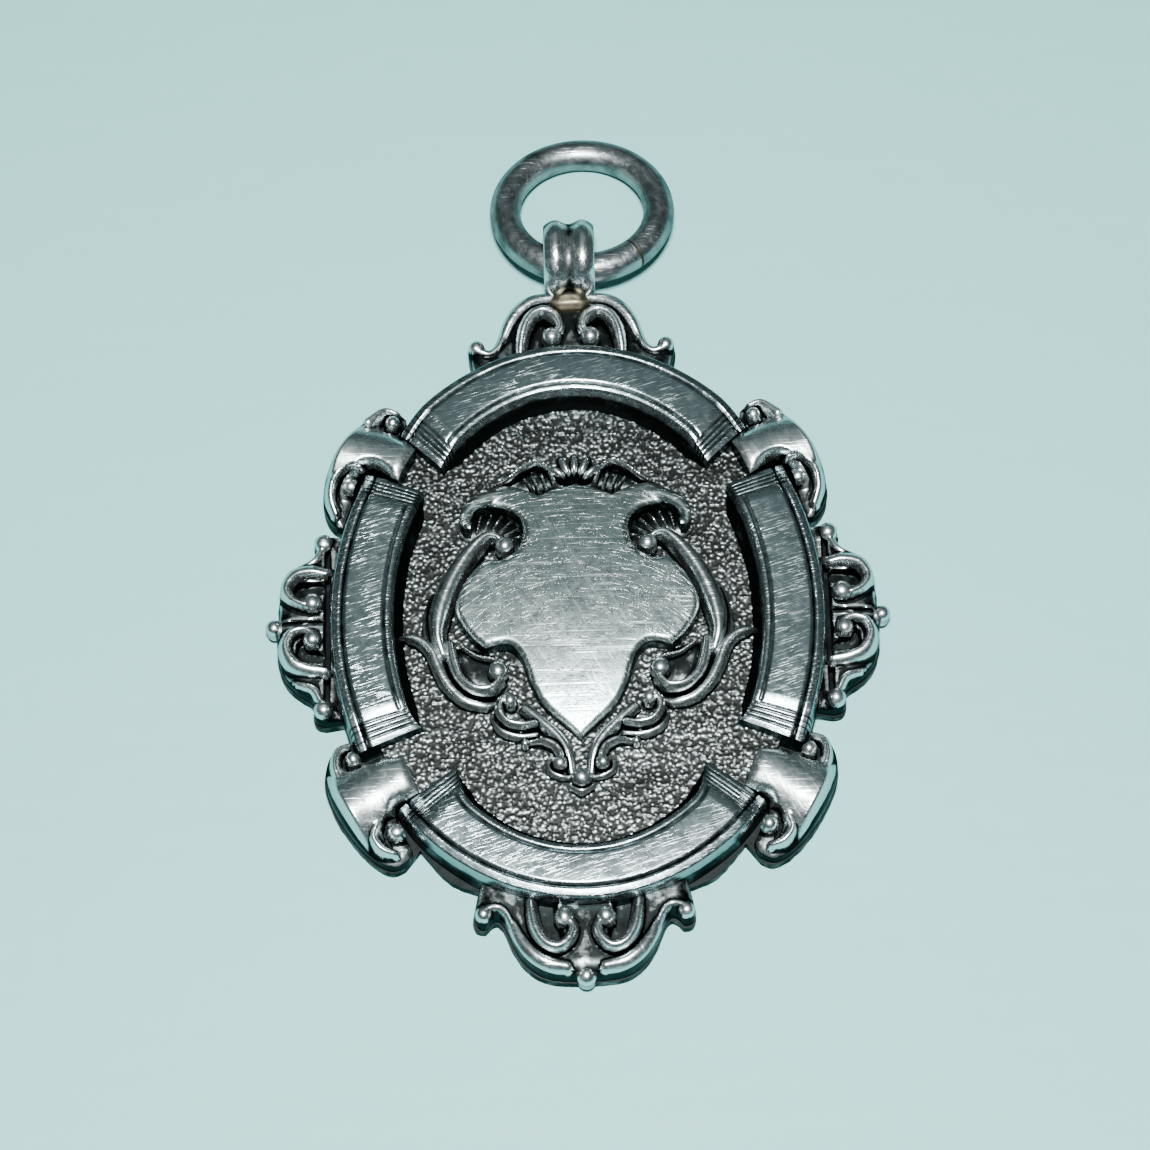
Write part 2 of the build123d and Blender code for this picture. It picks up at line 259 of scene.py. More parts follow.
# What every finish starts from; a finish below says only what is different
silverBase = {
    "bright": (0.70, 0.745, 0.74, 1), "dark": (0.014, 0.017, 0.017, 1), "reach": 0.7, "mottle": 1500.0,
    "density": 9000.0, "stretch": 20.0, "angle": 0.0, "glintTint": 0.25,
    "glintColor": (0.85, 0.92, 0.92, 1), "lineDepth": 0.7, "pitScale": 2600.0, "pitDepth": 0.5,
    "smooth": 0.16, "rough": 0.30, "bump": 0.35, "arcX": 0.0, "arcY": 0.0, "arcDensity": 9000.0,
    "arcLength": 14.0, "arcShare": 0.0, "straightShare": 1.0, "crossShare": 0.6,
    "edgeTint": (0.42, 0.46, 0.46, 1), "tarnishAndShadeRough": 0.08, "lineRough": 0.12,
}

finishes = {
    "shieldSilver": {
        **silverBase, "bright": (0.25, 0.315, 0.31, 1), "density": 6000.0, "stretch": 30.0,
        "glintTint": 0.8, "smooth": 0.25, "rough": 0.34, "bump": 1.0, "arcY": -0.0056,
        "arcDensity": 14000.0, "arcLength": 6.0, "arcShare": 1.0, "straightShare": 0.35,
    },
    "bannerSilver": {
        **silverBase, "bright": (0.25, 0.315, 0.325, 1), "density": 17000.0, "angle": -0.3,
        "stretch": 16.0, "glintTint": 0.22, "smooth": 0.20, "rough": 0.29, "bump": 0.4, "crossShare": 0.3,
    },
    "reliefSilver": {
        **silverBase, "bright": (0.58, 0.64, 0.64, 1), "reach": 0.48, "glintTint": 0.2, "smooth": 0.20,
        "rough": 0.32, "bump": 0.4,
    },
    "groundSilver": {
        **silverBase, "bright": (0.22, 0.245, 0.24, 1), "dark": (0.024, 0.027, 0.026, 1), "reach": 0.75,
        "mottle": 700.0, "glintTint": 0.0, "smooth": 0.26, "rough": 0.42, "bump": 0.8, "pitScale": 9000.0,
    },
    "backSilver": {**silverBase, "bright": (0.36, 0.40, 0.39, 1), "smooth": 0.28, "rough": 0.42,
                   "bump": 0.6},
    "bailSilver": {**silverBase, "bright": (0.58, 0.63, 0.63, 1), "smooth": 0.16, "rough": 0.28,
                   "angle": 1.57},
    "ringSilver": {
        **silverBase, "bright": (0.31, 0.34, 0.345, 1), "smooth": 0.24, "rough": 0.40, "mottle": 900.0,
        "glintTint": 0.2, "bump": 0.6,
    },
    "solderMetal": {
        **silverBase, "bright": (0.15, 0.135, 0.095, 1), "dark": (0.05, 0.045, 0.032, 1), "reach": 0.3,
        "smooth": 0.34, "rough": 0.55, "bump": 1.0, "pitScale": 4200.0, "straightShare": 0.0,
    },
}
materials = {name: makeSilver(name, settings) for name, settings in finishes.items()}
print("materials made:", len(materials))


def smoothRun(points, steps=8):
    # Catmull-Rom curve through the given rows, with as many columns as the rows have
    rows = np.array(points, float)
    if len(rows) < 3:
        share = np.linspace(0, 1, steps + 1)[:, None]
        return rows[0] * (1 - share) + rows[-1] * share
    rows = np.vstack([2 * rows[0] - rows[1], rows, 2 * rows[-1] - rows[-2]])
    made = []
    for index in range(1, len(rows) - 2):
        before, start, stop, after = rows[index - 1:index + 3]
        for share in np.linspace(0, 1, steps, endpoint=False):
            made.append(0.5 * (2 * start + (stop - before) * share
                               + (2 * before - 5 * start + 4 * stop - after) * share ** 2
                               + (3 * start - before - 3 * stop + after) * share ** 3))
    made.append(rows[-2])
    return np.array(made)


def resample(line, spacing):
    steps = np.hypot(*np.diff(line[:, :2], axis=0).T)
    travel = np.concatenate([[0], np.cumsum(steps)])
    count = max(2, int(round(travel[-1] / spacing)))
    marks = np.linspace(0, travel[-1], count + 1)
    return np.column_stack([np.interp(marks, travel, line[:, column]) for column in range(line.shape[1])])


def nearestOnLine(places, line):
    # Distance to a line, the line's values at the nearest point, and which side the place is on
    starts, steps = line[:-1, :2], np.diff(line[:, :2], axis=0)
    lengths = np.maximum((steps ** 2).sum(1), 1e-12)
    distance = np.empty(len(places))
    values = np.empty((len(places), line.shape[1]))
    side = np.empty(len(places))
    for first in range(0, len(places), 4000):
        part = places[first:first + 4000]
        offset = part[:, None, :] - starts[None]
        share = np.clip((offset * steps).sum(2) / lengths, 0, 1)
        gap = offset - share[..., None] * steps
        square = (gap ** 2).sum(2)
        pick = square.argmin(1)
        row = np.arange(len(part))
        chosen = share[row, pick][:, None]
        distance[first:first + 4000] = np.sqrt(square[row, pick])
        values[first:first + 4000] = line[pick] * (1 - chosen) + line[pick + 1] * chosen
        cross = steps[pick, 0] * offset[row, pick, 1] - steps[pick, 1] * offset[row, pick, 0]
        side[first:first + 4000] = np.sign(cross)
    return distance, values, side


def smoothMax(first, second, blend):
    mix = np.clip(0.5 + 0.5 * (first - second) / blend, 0, 1)
    return second * (1 - mix) + first * mix + blend * mix * (1 - mix)


def smoothMin(first, second, blend):
    return -smoothMax(-first, -second, blend)


def ridge(points, foot, blend=0.08, power=2.0):
    # Raised rib: rows are x, y, width on the left, width on the right, top
    line = smoothRun(points)

    def raiseRib(places, heights):
        distance, values, side = nearestOnLine(places, line)
        width = np.where(side > 0, values[:, 2], values[:, 3])
        share = np.clip(distance / width, 0, 1)
        rib = foot + (values[:, 4] - foot) * np.sqrt(np.maximum(1 - share ** power, 0))
        return np.where(share < 1, smoothMax(heights, rib, blend), heights)
    return raiseRib


def ball(x, y, radius, top, blend=0.05):
    def raiseBall(places, heights):
        distance = np.hypot(places[:, 0] - x, places[:, 1] - y)
        dome = top - radius + np.sqrt(np.maximum(radius ** 2 - distance ** 2, 0))
        return np.where(distance < radius, smoothMax(heights, dome, blend), heights)
    return raiseBall


def channel(points, rise, blend=0.1):
    # Cut: rows are x, y, width, bottom; rise is how steep its sides are
    line = smoothRun(points)

    def cutChannel(places, heights):
        distance, values, side = nearestOnLine(places, line)
        floor = values[:, 3] + rise * np.maximum(distance / values[:, 2] - 0.55, 0) ** 2
        return smoothMin(heights, floor, blend)
    return cutChannel


def mirrorRows(points, ribbed):
    if ribbed:
        return [(-x, y, right, left, top) for x, y, left, right, top in points]
    return [(-row[0], *row[1:]) for row in points]


def bothSides(ribs=(), cuts=(), balls=(), foot=1.0):
    # The same strokes on the right and, turned over, on the left
    strokes = []
    for rows, rise in cuts:
        strokes += [channel(rows, rise), channel(mirrorRows(rows, False), rise)]
    for rows in ribs:
        strokes += [ridge(rows, foot), ridge(mirrorRows(rows, True), foot)]
    for x, y, radius, top in balls:
        strokes += [ball(x, y, radius, top), ball(-x, y, radius, top)]
    return strokes


def oneSide(side, ribs=(), cuts=(), balls=(), foot=1.0):
    strokes = []
    for rows, rise in cuts:
        strokes.append(channel(rows if side > 0 else mirrorRows(rows, False), rise))
    for rows in ribs:
        strokes.append(ridge(rows if side > 0 else mirrorRows(rows, True), foot))
    for x, y, radius, top in balls:
        strokes.append(ball(side * x, y, radius, top))
    return strokes


def wornSurface(places, amount, seed):
    # Slow unevenness of a hand-finished surface
    phase = np.random.RandomState(seed).uniform(0, 6.28, (6, 3))
    total = np.zeros(len(places))
    for index in range(6):
        turn = phase[index, 2]
        wave = (places[:, 0] * math.cos(turn) + places[:, 1] * math.sin(turn)) * (1.6 + 0.9 * index)
        total += np.sin(wave + phase[index, 0]) / (1 + 0.5 * index)
    return total * amount / 2.5


def insideLoop(places, loop):
    inside = np.zeros(len(places), bool)
    x, y = places[:, 0], places[:, 1]
    for (startX, startY), (stopX, stopY) in zip(loop, np.roll(loop, -1, axis=0)):
        if startY == stopY:
            continue
        crosses = (startY > y) != (stopY > y)
        inside ^= crosses & (x < (stopX - startX) * (y - startY) / (stopY - startY) + startX)
    return inside


def hexGrid(low, high, spacing):
    rows = np.arange(low[1], high[1], spacing * 0.866)
    columns = np.arange(low[0], high[0], spacing)
    gridX, gridY = np.meshgrid(columns, rows)
    gridX = gridX + (np.arange(len(rows)) % 2)[:, None] * spacing / 2
    return np.column_stack([gridX.ravel(), gridY.ravel()]), (len(rows), len(columns))


def triangulate(places, loopLength):
    edges = [(index, (index + 1) % loopLength) for index in range(loopLength)]
    made = delaunay_2d_cdt([Vector(place) for place in places], edges, [], 1, 1e-7)
    return np.array([tuple(vert) for vert in made[0]]), [tuple(face) for face in made[2]]


def boundaryEdges(faces):
    seen = set()
    for face in faces:
        for start, stop in zip(face, face[1:] + face[:1]):
            if (stop, start) in seen:
                seen.discard((stop, start))
            else:
                seen.add((start, stop))
    return sorted(seen)


def hollowness(height, places, reach, darkBelowLevel=0.0):
    # How far a point lies under its surroundings, plus a darkening for points below a given level
    around = np.zeros(len(places))
    for index in range(8):
        turn = math.pi * index / 4
        around += height(places + reach * np.array([math.cos(turn), math.sin(turn)]))
    level = height(places)
    lowDarkening = np.clip((darkBelowLevel - level) / 0.4, 0, 1) * 0.5
    return (around / 8 - level) / reach + lowDarkening


def closeSolid(verts, faces, floor, edgeDrop=0.03, under=None):
    # Adds a wall round the open top and an underside; the underside may have fewer faces
    verts = np.array(verts)
    rim = boundaryEdges(faces)
    used = sorted({index for edge in rim for index in edge})
    lip = {index: len(verts) + order for order, index in enumerate(used)}
    lipRows = verts[used].copy()
    lipRows[:, 2] -= edgeDrop
    under = faces if under is None else under
    below = sorted({index for face in under for index in face})
    base = {index: len(verts) + len(used) + order for order, index in enumerate(below)}
    baseRows = verts[below].copy()
    baseRows[:, 2] = floor
    made = list(faces)
    for start, stop in rim:
        made.append((stop, start, lip[start], lip[stop]))
        made.append((lip[stop], lip[start], base[start], base[stop]))
    made += [tuple(base[index] for index in reversed(face)) for face in under]
    return np.vstack([verts, lipRows, baseRows]), made


def meshFrom(name, verts, faces, oxideAndShade=None, sharpAngle=38):
    mesh = bpy.data.meshes.new(name)
    mesh.from_pydata([tuple(vert) for vert in verts], [], faces)
    mesh.validate()
    if oxideAndShade is not None:
        layer = mesh.attributes.new("oxideAndShade", "FLOAT", "POINT")
        # Vertices past the given values are the walls and undersides from closeSolid: a fixed 0.62,
        # painted shade on the side walls
        values = np.full(len(mesh.vertices), 0.62, np.float32)
        values[:len(oxideAndShade)] = oxideAndShade
        layer.data.foreach_set("value", values)
    mesh.shade_smooth()
    mesh.set_sharp_from_angle(angle=math.radians(sharpAngle))
    return mesh


def finishPiece(name, mesh, material, body, slotName, *nodes):
    # Millimetres become metres, and the piece takes its place on the frame
    mesh.transform(Matrix.Scale(millimetre, 4))
    mesh.materials.clear()
    mesh.materials.append(materials[material])
    piece = bpy.data.objects.new(name, mesh)
    bpy.context.scene.collection.objects.link(piece)
    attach(piece, body)
    if nodes:
        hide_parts(*nodes)
    print("piece", name, len(mesh.polygons))
    return piece


def joinRuns(runs, spacing):
    # Smooth runs meeting at corners make one closed loop
    parts = [resample(smoothRun(run), spacing)[:-1] for run in runs]
    return np.vstack(parts)


def reliefMesh(name, runs, height, floor, spacing=0.06, insets=(0.025, 0.06, 0.11), reach=0.16,
               coarse=None, darkBelowLevel=0.0):
    # Outline filled with a fine triangulation, raised by the height function, closed below
    loop = joinRuns(runs, spacing)
    ahead = np.roll(loop, -1, axis=0) - np.roll(loop, 1, axis=0)
    normal = np.column_stack([-ahead[:, 1], ahead[:, 0]])
    normal /= np.linalg.norm(normal, axis=1)[:, None]
    area = (loop[:, 0] * np.roll(loop[:, 1], -1) - loop[:, 1] * np.roll(loop[:, 0], -1)).sum()
    normal *= np.sign(area)
    closed = np.vstack([loop, loop[:1]])
    extra = []
    for inset in insets:
        ring = loop + normal * inset
        distance = nearestOnLine(ring, closed)[0]
        extra.append(ring[(distance > inset * 0.93) & insideLoop(ring, loop)])
    grid = hexGrid(loop.min(0), loop.max(0), spacing)[0]
    if coarse:
        wide = hexGrid(loop.min(0), loop.max(0), 3 * spacing)[0]
        grid = np.vstack([grid[~coarse(grid)], wide[coarse(wide)]])
    distance = nearestOnLine(grid, closed)[0]
    extra.append(grid[insideLoop(grid, loop) & (distance > insets[-1] + spacing * 0.5)])
    places, faces = triangulate(np.vstack([loop, *extra]), len(loop))
    under = triangulate(loop, len(loop))[1]
    heights = height(places)
    verts, faces = closeSolid(np.column_stack([places, heights]), faces, floor, under=under)
    return meshFrom(name, verts, faces, hollowness(height, places, reach, darkBelowLevel))


def scrollMesh(name, height, low, high, foot, floor, spacing=0.05, reach=0.16, darkBelowLevel=1.9):
    # Relief lying on the ground: only where the height function stands above its foot
    places, (rows, columns) = hexGrid(low, high, spacing)
    heights = height(places)
    number = np.arange(rows * columns).reshape(rows, columns)
    faces = []
    for row in range(rows - 1):
        a, b = number[row, :-1], number[row, 1:]
        c, d = number[row + 1, :-1], number[row + 1, 1:]
        if row % 2:
            faces += list(zip(a, b, d)) + list(zip(a, d, c))
        else:
            faces += list(zip(a, b, c)) + list(zip(b, d, c))
    kept = [face for face in faces if max(heights[list(face)]) > foot + 0.004]
    used = sorted({index for face in kept for index in face})
    renumber = {index: order for order, index in enumerate(used)}
    kept = [tuple(renumber[index] for index in face) for face in kept]
    places, heights = places[used], heights[used]
    verts, faces = closeSolid(np.column_stack([places, heights]), kept, floor, 0.005)
    return meshFrom(name, verts, faces, hollowness(height, places, reach, darkBelowLevel))


def makeHeight(base, strokes, wear=0.012, seed=1):
    def height(places):
        heights = base(places)
        for stroke in strokes:
            heights = stroke(places, heights)
        return heights + wornSurface(places, wear, seed)
    return height


def cushionBase(runs, edge, level, width, spacing=0.05):
    # Surface that rises from the outline's edge to a level, rounded like a pillow
    loop = joinRuns(runs, spacing)
    closed = np.vstack([loop, loop[:1]])

    def base(places):
        share = np.clip(nearestOnLine(places, closed)[0] / width, 0, 1)
        share = np.where(insideLoop(places, loop), share, 0)
        return edge + (level - edge) * np.sqrt(1 - (1 - share) ** 2)
    return base


def mirrorRuns(runs, side):
    return runs if side > 0 else [[(-x, y) for x, y in run] for run in runs]


# Heights over the back plane, widths across the ribbon, ends measured along it
bannerShape = {
    "fieldTop": 2.36, "crown": 0.05, "grooveDepth": 0.12, "outerEdge": 1.9, "innerEdge": 1.95,
    "outerGrooveAt": 0.56, "outerGrooveWide": 0.075, "innerGrooveAt": 0.40, "innerGrooveWide": 0.06,
    "outerRollWide": 0.52, "innerRollWide": 0.36, "outerFallWide": 0.15, "innerFallWide": 0.1,
    "outerRoll": 0.13, "innerRoll": 0.11, "lean": 0.1, "endDrop": 0.5, "endLength": 1.5, "endEase": 1.35,
    "reedCount": 4, "reedPitch": 0.21, "reedDepth": 0.05, "reedWide": 0.055, "reedStart": 1.4,
    "alongSteps": 260, "acrossSteps": 44, "skirt": 0.42, "skirtFoot": 1.18, "skirtSteps": 7,
}
bannerEnds = {
    "top": ((5.75, 7.15), (7.65, 8.95)),
    "sideUpper": ((6.6, 6.05), (9.2, 7.05)),
    "sideLower": ((6.65, -5.0), (9.45, -6.15)),
    "bottom": ((5.2, -6.85), (7.75, -8.75)),
}


def ovalArc(semiX, semiY, start, stop, shares):
    # Part of an oval between two corners, with the corners met exactly
    first = math.atan2(start[1] / semiY, start[0] / semiX)
    last = math.atan2(stop[1] / semiY, stop[0] / semiX)
    if last - first > math.pi:
        last -= 2 * math.pi
    if first - last > math.pi:
        last += 2 * math.pi
    angle = first + (last - first) * shares
    arc = np.column_stack([semiX * np.cos(angle), semiY * np.sin(angle)])
    startGap, stopGap = np.array(start) - arc[0], np.array(stop) - arc[-1]
    nearStart = np.clip(1 - shares / 0.12, 0, 1) ** 2
    nearStop = np.clip(1 - (1 - shares) / 0.12, 0, 1) ** 2
    return arc + startGap * nearStart[:, None] + stopGap * nearStop[:, None]


def bannerMesh(name, startEnd, stopEnd, seed):
    # Grid of sections along the ribbon: wire, groove, field, groove, inner border
    shape = bannerShape
    shares = np.linspace(0, 1, shape["alongSteps"])
    shares = shares - 0.055 * np.sin(2 * math.pi * shares)
    across = np.linspace(0, 1, shape["acrossSteps"])
    across = across - 0.03 * np.sin(2 * math.pi * across)
    outer = ovalArc(ovalX, ovalY, startEnd[1], stopEnd[1], shares)
    inner = ovalArc(innerX, innerY, startEnd[0], stopEnd[0], shares)
    width = np.linalg.norm(outer - inner, axis=1)
    middle = (outer + inner) / 2
    travel = np.concatenate([[0], np.cumsum(np.linalg.norm(np.diff(middle, axis=0), axis=1))])
    fromEnd = np.minimum(travel, travel[-1] - travel)[:, None]
    inward = (inner - outer) / width[:, None]
    places = inner[:, None] * (1 - across)[None, :, None] + outer[:, None] * across[None, :, None]
    fromInner = across[None, :] * width[:, None]
    fromOuter = (1 - across)[None, :] * width[:, None]
    height = np.full(fromInner.shape, shape["fieldTop"])
    offCentre = across[None, :] - 0.5
    height += shape["crown"] * (1 - (offCentre * 2) ** 2) - shape["lean"] * offCentre
    plain = np.clip((fromEnd - shape["reedPitch"] * (shape["reedCount"] + 0.6)) / 0.15, 0, 1)
    outerGroove = np.exp(-((fromOuter - shape["outerGrooveAt"]) / shape["outerGrooveWide"]) ** 2)
    innerGroove = np.exp(-((fromInner - shape["innerGrooveAt"]) / shape["innerGrooveWide"]) ** 2)
    height -= shape["grooveDepth"] * (outerGroove + 0.75 * innerGroove * plain)
    height -= shape["outerRoll"] * np.clip(1 - fromOuter / shape["outerRollWide"], 0, 1) ** 1.2
    height -= shape["innerRoll"] * np.clip(1 - fromInner / shape["innerRollWide"], 0, 1) ** 2
    outerFall = np.clip(1 - fromOuter / shape["outerFallWide"], 0, 1)
    innerFall = np.clip(1 - fromInner / shape["innerFallWide"], 0, 1)
    height -= (shape["fieldTop"] - shape["outerEdge"]) * outerFall ** 2
    height -= (shape["fieldTop"] - shape["innerEdge"]) * innerFall ** 2
    reeds = np.zeros_like(fromEnd)
    for index in range(shape["reedCount"]):
        centre = shape["reedPitch"] * (index + shape["reedStart"])
        reeds = reeds + np.exp(-((fromEnd - centre) / shape["reedWide"]) ** 2)
    insideBorders = np.clip((fromOuter - 0.62) / 0.05, 0, 1) * np.clip((fromInner - 0.12) / 0.08, 0, 1)
    height -= shape["reedDepth"] * reeds * insideBorders
    bend = np.clip(1 - fromEnd / shape["endLength"], 0, 1)
    height -= shape["endDrop"] * bend ** shape["endEase"]
    # Grooves and reeds darken as oxide; the rolled-down edges and the very ends get painted shade
    oxideAndShade = 0.9 * (outerGroove + 0.8 * innerGroove * plain) + 0.75 * reeds - 0.15
    oxideAndShade = oxideAndShade + 0.5 * innerFall + 0.35 * outerFall ** 3 + 0.5 * np.clip(1 - fromEnd / 0.1, 0, 1)
    down = np.linspace(1, 0, shape["skirtSteps"], endpoint=False)
    reach = shape["skirt"] * np.clip(fromEnd / 1.2, 0.15, 1) * down[None, :] ** 1.6
    skirt = inner[:, None] + inward[:, None] * reach[..., None]
    lip = height[:, :1]
    skirtHeight = lip + (np.minimum(shape["skirtFoot"], lip - 0.05) - lip) * down[None, :]
    places = np.concatenate([skirt, places], axis=1)
    height = np.concatenate([skirtHeight, height], axis=1)
    # The skirt down to the ground gets painted shade, darker towards its foot
    oxideAndShade = np.concatenate([np.full(reach.shape, 0.62) + 0.3 * down[None, :], oxideAndShade], axis=1)
    flat = places.reshape(-1, 2)
    height = height.reshape(-1) + wornSurface(flat, 0.014, seed)
    rows, columns = len(shares), places.shape[1]
    number = np.arange(rows * columns).reshape(rows, columns)
    a, b, c, d = number[:-1, :-1], number[:-1, 1:], number[1:, 1:], number[1:, :-1]
    faces = [tuple(int(value) for value in face) for face in np.stack([a, b, c, d], -1).reshape(-1, 4)]
    verts = np.column_stack([flat, height])
    corners = [verts[index] for index in faces[0][:3]]
    if np.cross(corners[1] - corners[0], corners[2] - corners[0])[2] < 0:
        faces = [tuple(reversed(face)) for face in faces]
    verts, faces = closeSolid(verts, faces, backLevel)
    return meshFrom(name, verts, faces, np.clip(oxideAndShade.reshape(-1), -1, 1.5), 50)


def leftEnd(end):
    return tuple((-x, y) for x, y in end)


bannerRuns = {
    "banner_top": (bannerEnds["top"], leftEnd(bannerEnds["top"])),
    "banner_left": (leftEnd(bannerEnds["sideUpper"]), leftEnd(bannerEnds["sideLower"])),
    "banner_bottom": (leftEnd(bannerEnds["bottom"]), bannerEnds["bottom"]),
    "banner_right": (bannerEnds["sideLower"], bannerEnds["sideUpper"]),
}
for seed, (name, (startEnd, stopEnd)) in enumerate(bannerRuns.items()):
    mesh = bannerMesh(name, startEnd, stopEnd, seed)
    finishPiece(name + "_ribbon", mesh, "bannerSilver", "medal", "polished_silver", name)
print("banners made")


endFinial = {
    "runs": [
        [(4.3, 11.7), (4.45, 12.5), (4.6, 13.25)],
        [(4.6, 13.25), (4.45, 13.62), (4.15, 13.72), (3.88, 13.45), (3.6, 13.38), (3.3, 13.75),
         (2.95, 14.6), (2.45, 15.35), (1.75, 15.85), (0.9, 16.03), (0, 16.05), (-0.9, 16.03),
         (-1.75, 15.85), (-2.45, 15.35), (-2.95, 14.6), (-3.3, 13.75), (-3.6, 13.38), (-3.88, 13.45),
         (-4.15, 13.72), (-4.45, 13.62), (-4.6, 13.25)],
        [(-4.6, 13.25), (-4.45, 12.5), (-4.3, 11.7)],
        [(-4.3, 11.7), (4.3, 11.7)],
    ],
    "edge": 1.0, "level": 1.5, "roll": 0.8, "darkBelowLevel": 1.85,
    "ribs": [
        [(2.25, 12.9, .3, .34, 1.8), (2.2, 13.4, .34, .38, 1.95), (2.05, 14.1, .36, .4, 2.08),
         (1.7, 14.7, .36, .4, 2.12), (1.18, 14.92, .36, .4, 2.12), (0.74, 14.66, .34, .38, 2.1),
         (0.52, 14.2, .3, .36, 2.05), (0.6, 13.85, .3, .34, 2.0)],
        [(3.0, 13.7, .3, .34, 1.55), (2.72, 14.4, .38, .44, 1.75), (2.25, 15.05, .42, .5, 1.85),
         (1.6, 15.5, .42, .5, 1.85), (0.8, 15.68, .36, .4, 1.72)],
        [(4.35, 13.3, .25, .3, 1.5), (4.05, 13.1, .3, .3, 1.65), (3.6, 13.0, .25, .3, 1.6),
         (3.2, 13.35, .2, .3, 1.6), (2.85, 14.2, .15, .3, 1.55)],
    ],
    "cuts": [
        ([(1.3, 14.5, .5, 1.0), (1.45, 14.0, .55, 1.0), (1.6, 13.4, .55, 1.0), (1.6, 12.8, .55, 1.0)],
         4.0),
    ],
    "balls": [(0.86, 13.62, .44, 2.15), (4.2, 13.3, .36, 1.72)],
}


def turned(points, sign):
    # The same rows with y turned over, so a top finial becomes a bottom one
    return [(row[0], sign * row[1], *row[2:]) for row in points]


def swapSides(rows):
    return [(x, y, right, left, top) for x, y, left, right, top in rows]


def endFinialMesh(name, sign, seed):
    shape = endFinial
    runs = [turned(run, sign) for run in shape["runs"]]
    if sign < 0:
        runs = [run[::-1] for run in reversed(runs)]
    ribs = [turned(rows, sign) for rows in shape["ribs"]]
    if sign < 0:
        ribs = [swapSides(rows) for rows in ribs]
    cuts = [(turned(rows, sign), rise) for rows, rise in shape["cuts"]]
    balls = [(x, sign * y, radius, top) for x, y, radius, top in shape["balls"]]
    base = cushionBase(runs, shape["edge"], shape["level"], shape["roll"])
    height = makeHeight(base, bothSides(ribs, cuts, balls, 0.9), 0.02, seed)
    return reliefMesh(name, runs, height, backLevel, darkBelowLevel=shape["darkBelowLevel"])


for word, sign, seed in (("top", 1, 11), ("bottom", -1, 12)):
    mesh = endFinialMesh("finial" + word.title(), sign, seed)
    finishPiece("finial_" + word + "_scrolls", mesh, "reliefSilver", "medal", "relief_silver",
                "finial_" + word)

sideFinial = {
    "runs": [
        [(9.9, 4.25), (10.1, -4.3)],
        [(10.1, -4.3), (10.9, -4.4), (11.3, -4.15), (11.3, -3.6), (11.45, -3.3), (12.1, -2.85),
         (12.6, -2.25), (12.85, -1.5), (12.92, -0.7), (12.95, 0.0), (12.88, 0.7), (12.85, 1.3),
         (12.5, 2.3), (11.9, 3.0), (11.3, 3.3), (11.25, 3.6), (11.35, 4.0), (10.95, 4.35), (9.9, 4.25)],
    ],
    "edge": 0.95, "level": 1.45, "roll": 0.7, "darkBelowLevel": 1.75,
    "ribs": [
        [(10.85, 2.3, .5, .2, 1.8), (11.5, 2.42, .5, .3, 1.9), (12.15, 2.2, .5, .3, 1.98),
         (12.5, 1.6, .4, .3, 2.0), (12.25, 1.08, .3, .3, 2.0), (11.75, .82, .3, .25, 2.0)],
        [(11.35, -.55, .3, .25, 2.0), (11.8, -.33, .3, .3, 2.0), (12.3, -.5, .35, .3, 2.0),
         (12.52, -1.1, .4, .3, 2.0), (12.2, -1.75, .5, .3, 1.95), (11.6, -2.05, .5, .3, 1.88),
         (10.9, -2.15, .5, .2, 1.8)],
        [(11.0, 3.55, .25, .25, 1.6), (11.35, 3.0, .25, .3, 1.65), (12.0, 2.75, .15, .3, 1.5)],
        [(11.0, -3.6, .25, .25, 1.6), (11.35, -3.0, .3, .25, 1.65), (12.0, -2.75, .3, .15, 1.5)],
    ],
    "cuts": [
        ([(11.1, 1.75, .4, 1.05), (11.7, 1.7, .42, 1.0), (12.0, 1.6, .4, 1.05)], 4.0),
        ([(11.8, -1.0, .36, 1.05), (11.75, -1.35, .36, 1.05), (11.1, -1.5, .36, 1.05)], 4.0),
        ([(11.0, .15, .16, 1.15), (12.6, .1, .12, 1.2)], 2.0),
        ([(10.75, 4.2, .14, 1.05), (10.75, 0, .2, 1.0), (10.75, -4.2, .14, 1.05)], 3.0),
    ],
    "balls": [(11.38, .92, .44, 2.08), (11.38, -.78, .4, 2.05), (10.93, 3.88, .42, 1.75),
              (10.9, -3.92, .42, 1.75)],
}

for side, word in ((1, "right"), (-1, "left")):
    runs = mirrorRuns(sideFinial["runs"], side)
    base = cushionBase(runs, sideFinial["edge"], sideFinial["level"], sideFinial["roll"])
    strokes = oneSide(side, sideFinial["ribs"], sideFinial["cuts"], sideFinial["balls"], 0.9)
    height = makeHeight(base, strokes, 0.02, 20 + side)
    mesh = reliefMesh("finial" + word, runs, height, backLevel, darkBelowLevel=sideFinial["darkBelowLevel"])
    finishPiece("finial_" + word + "_scrolls", mesh, "reliefSilver", "medal", "relief_silver",
                "finial_" + word)
print("finials made")


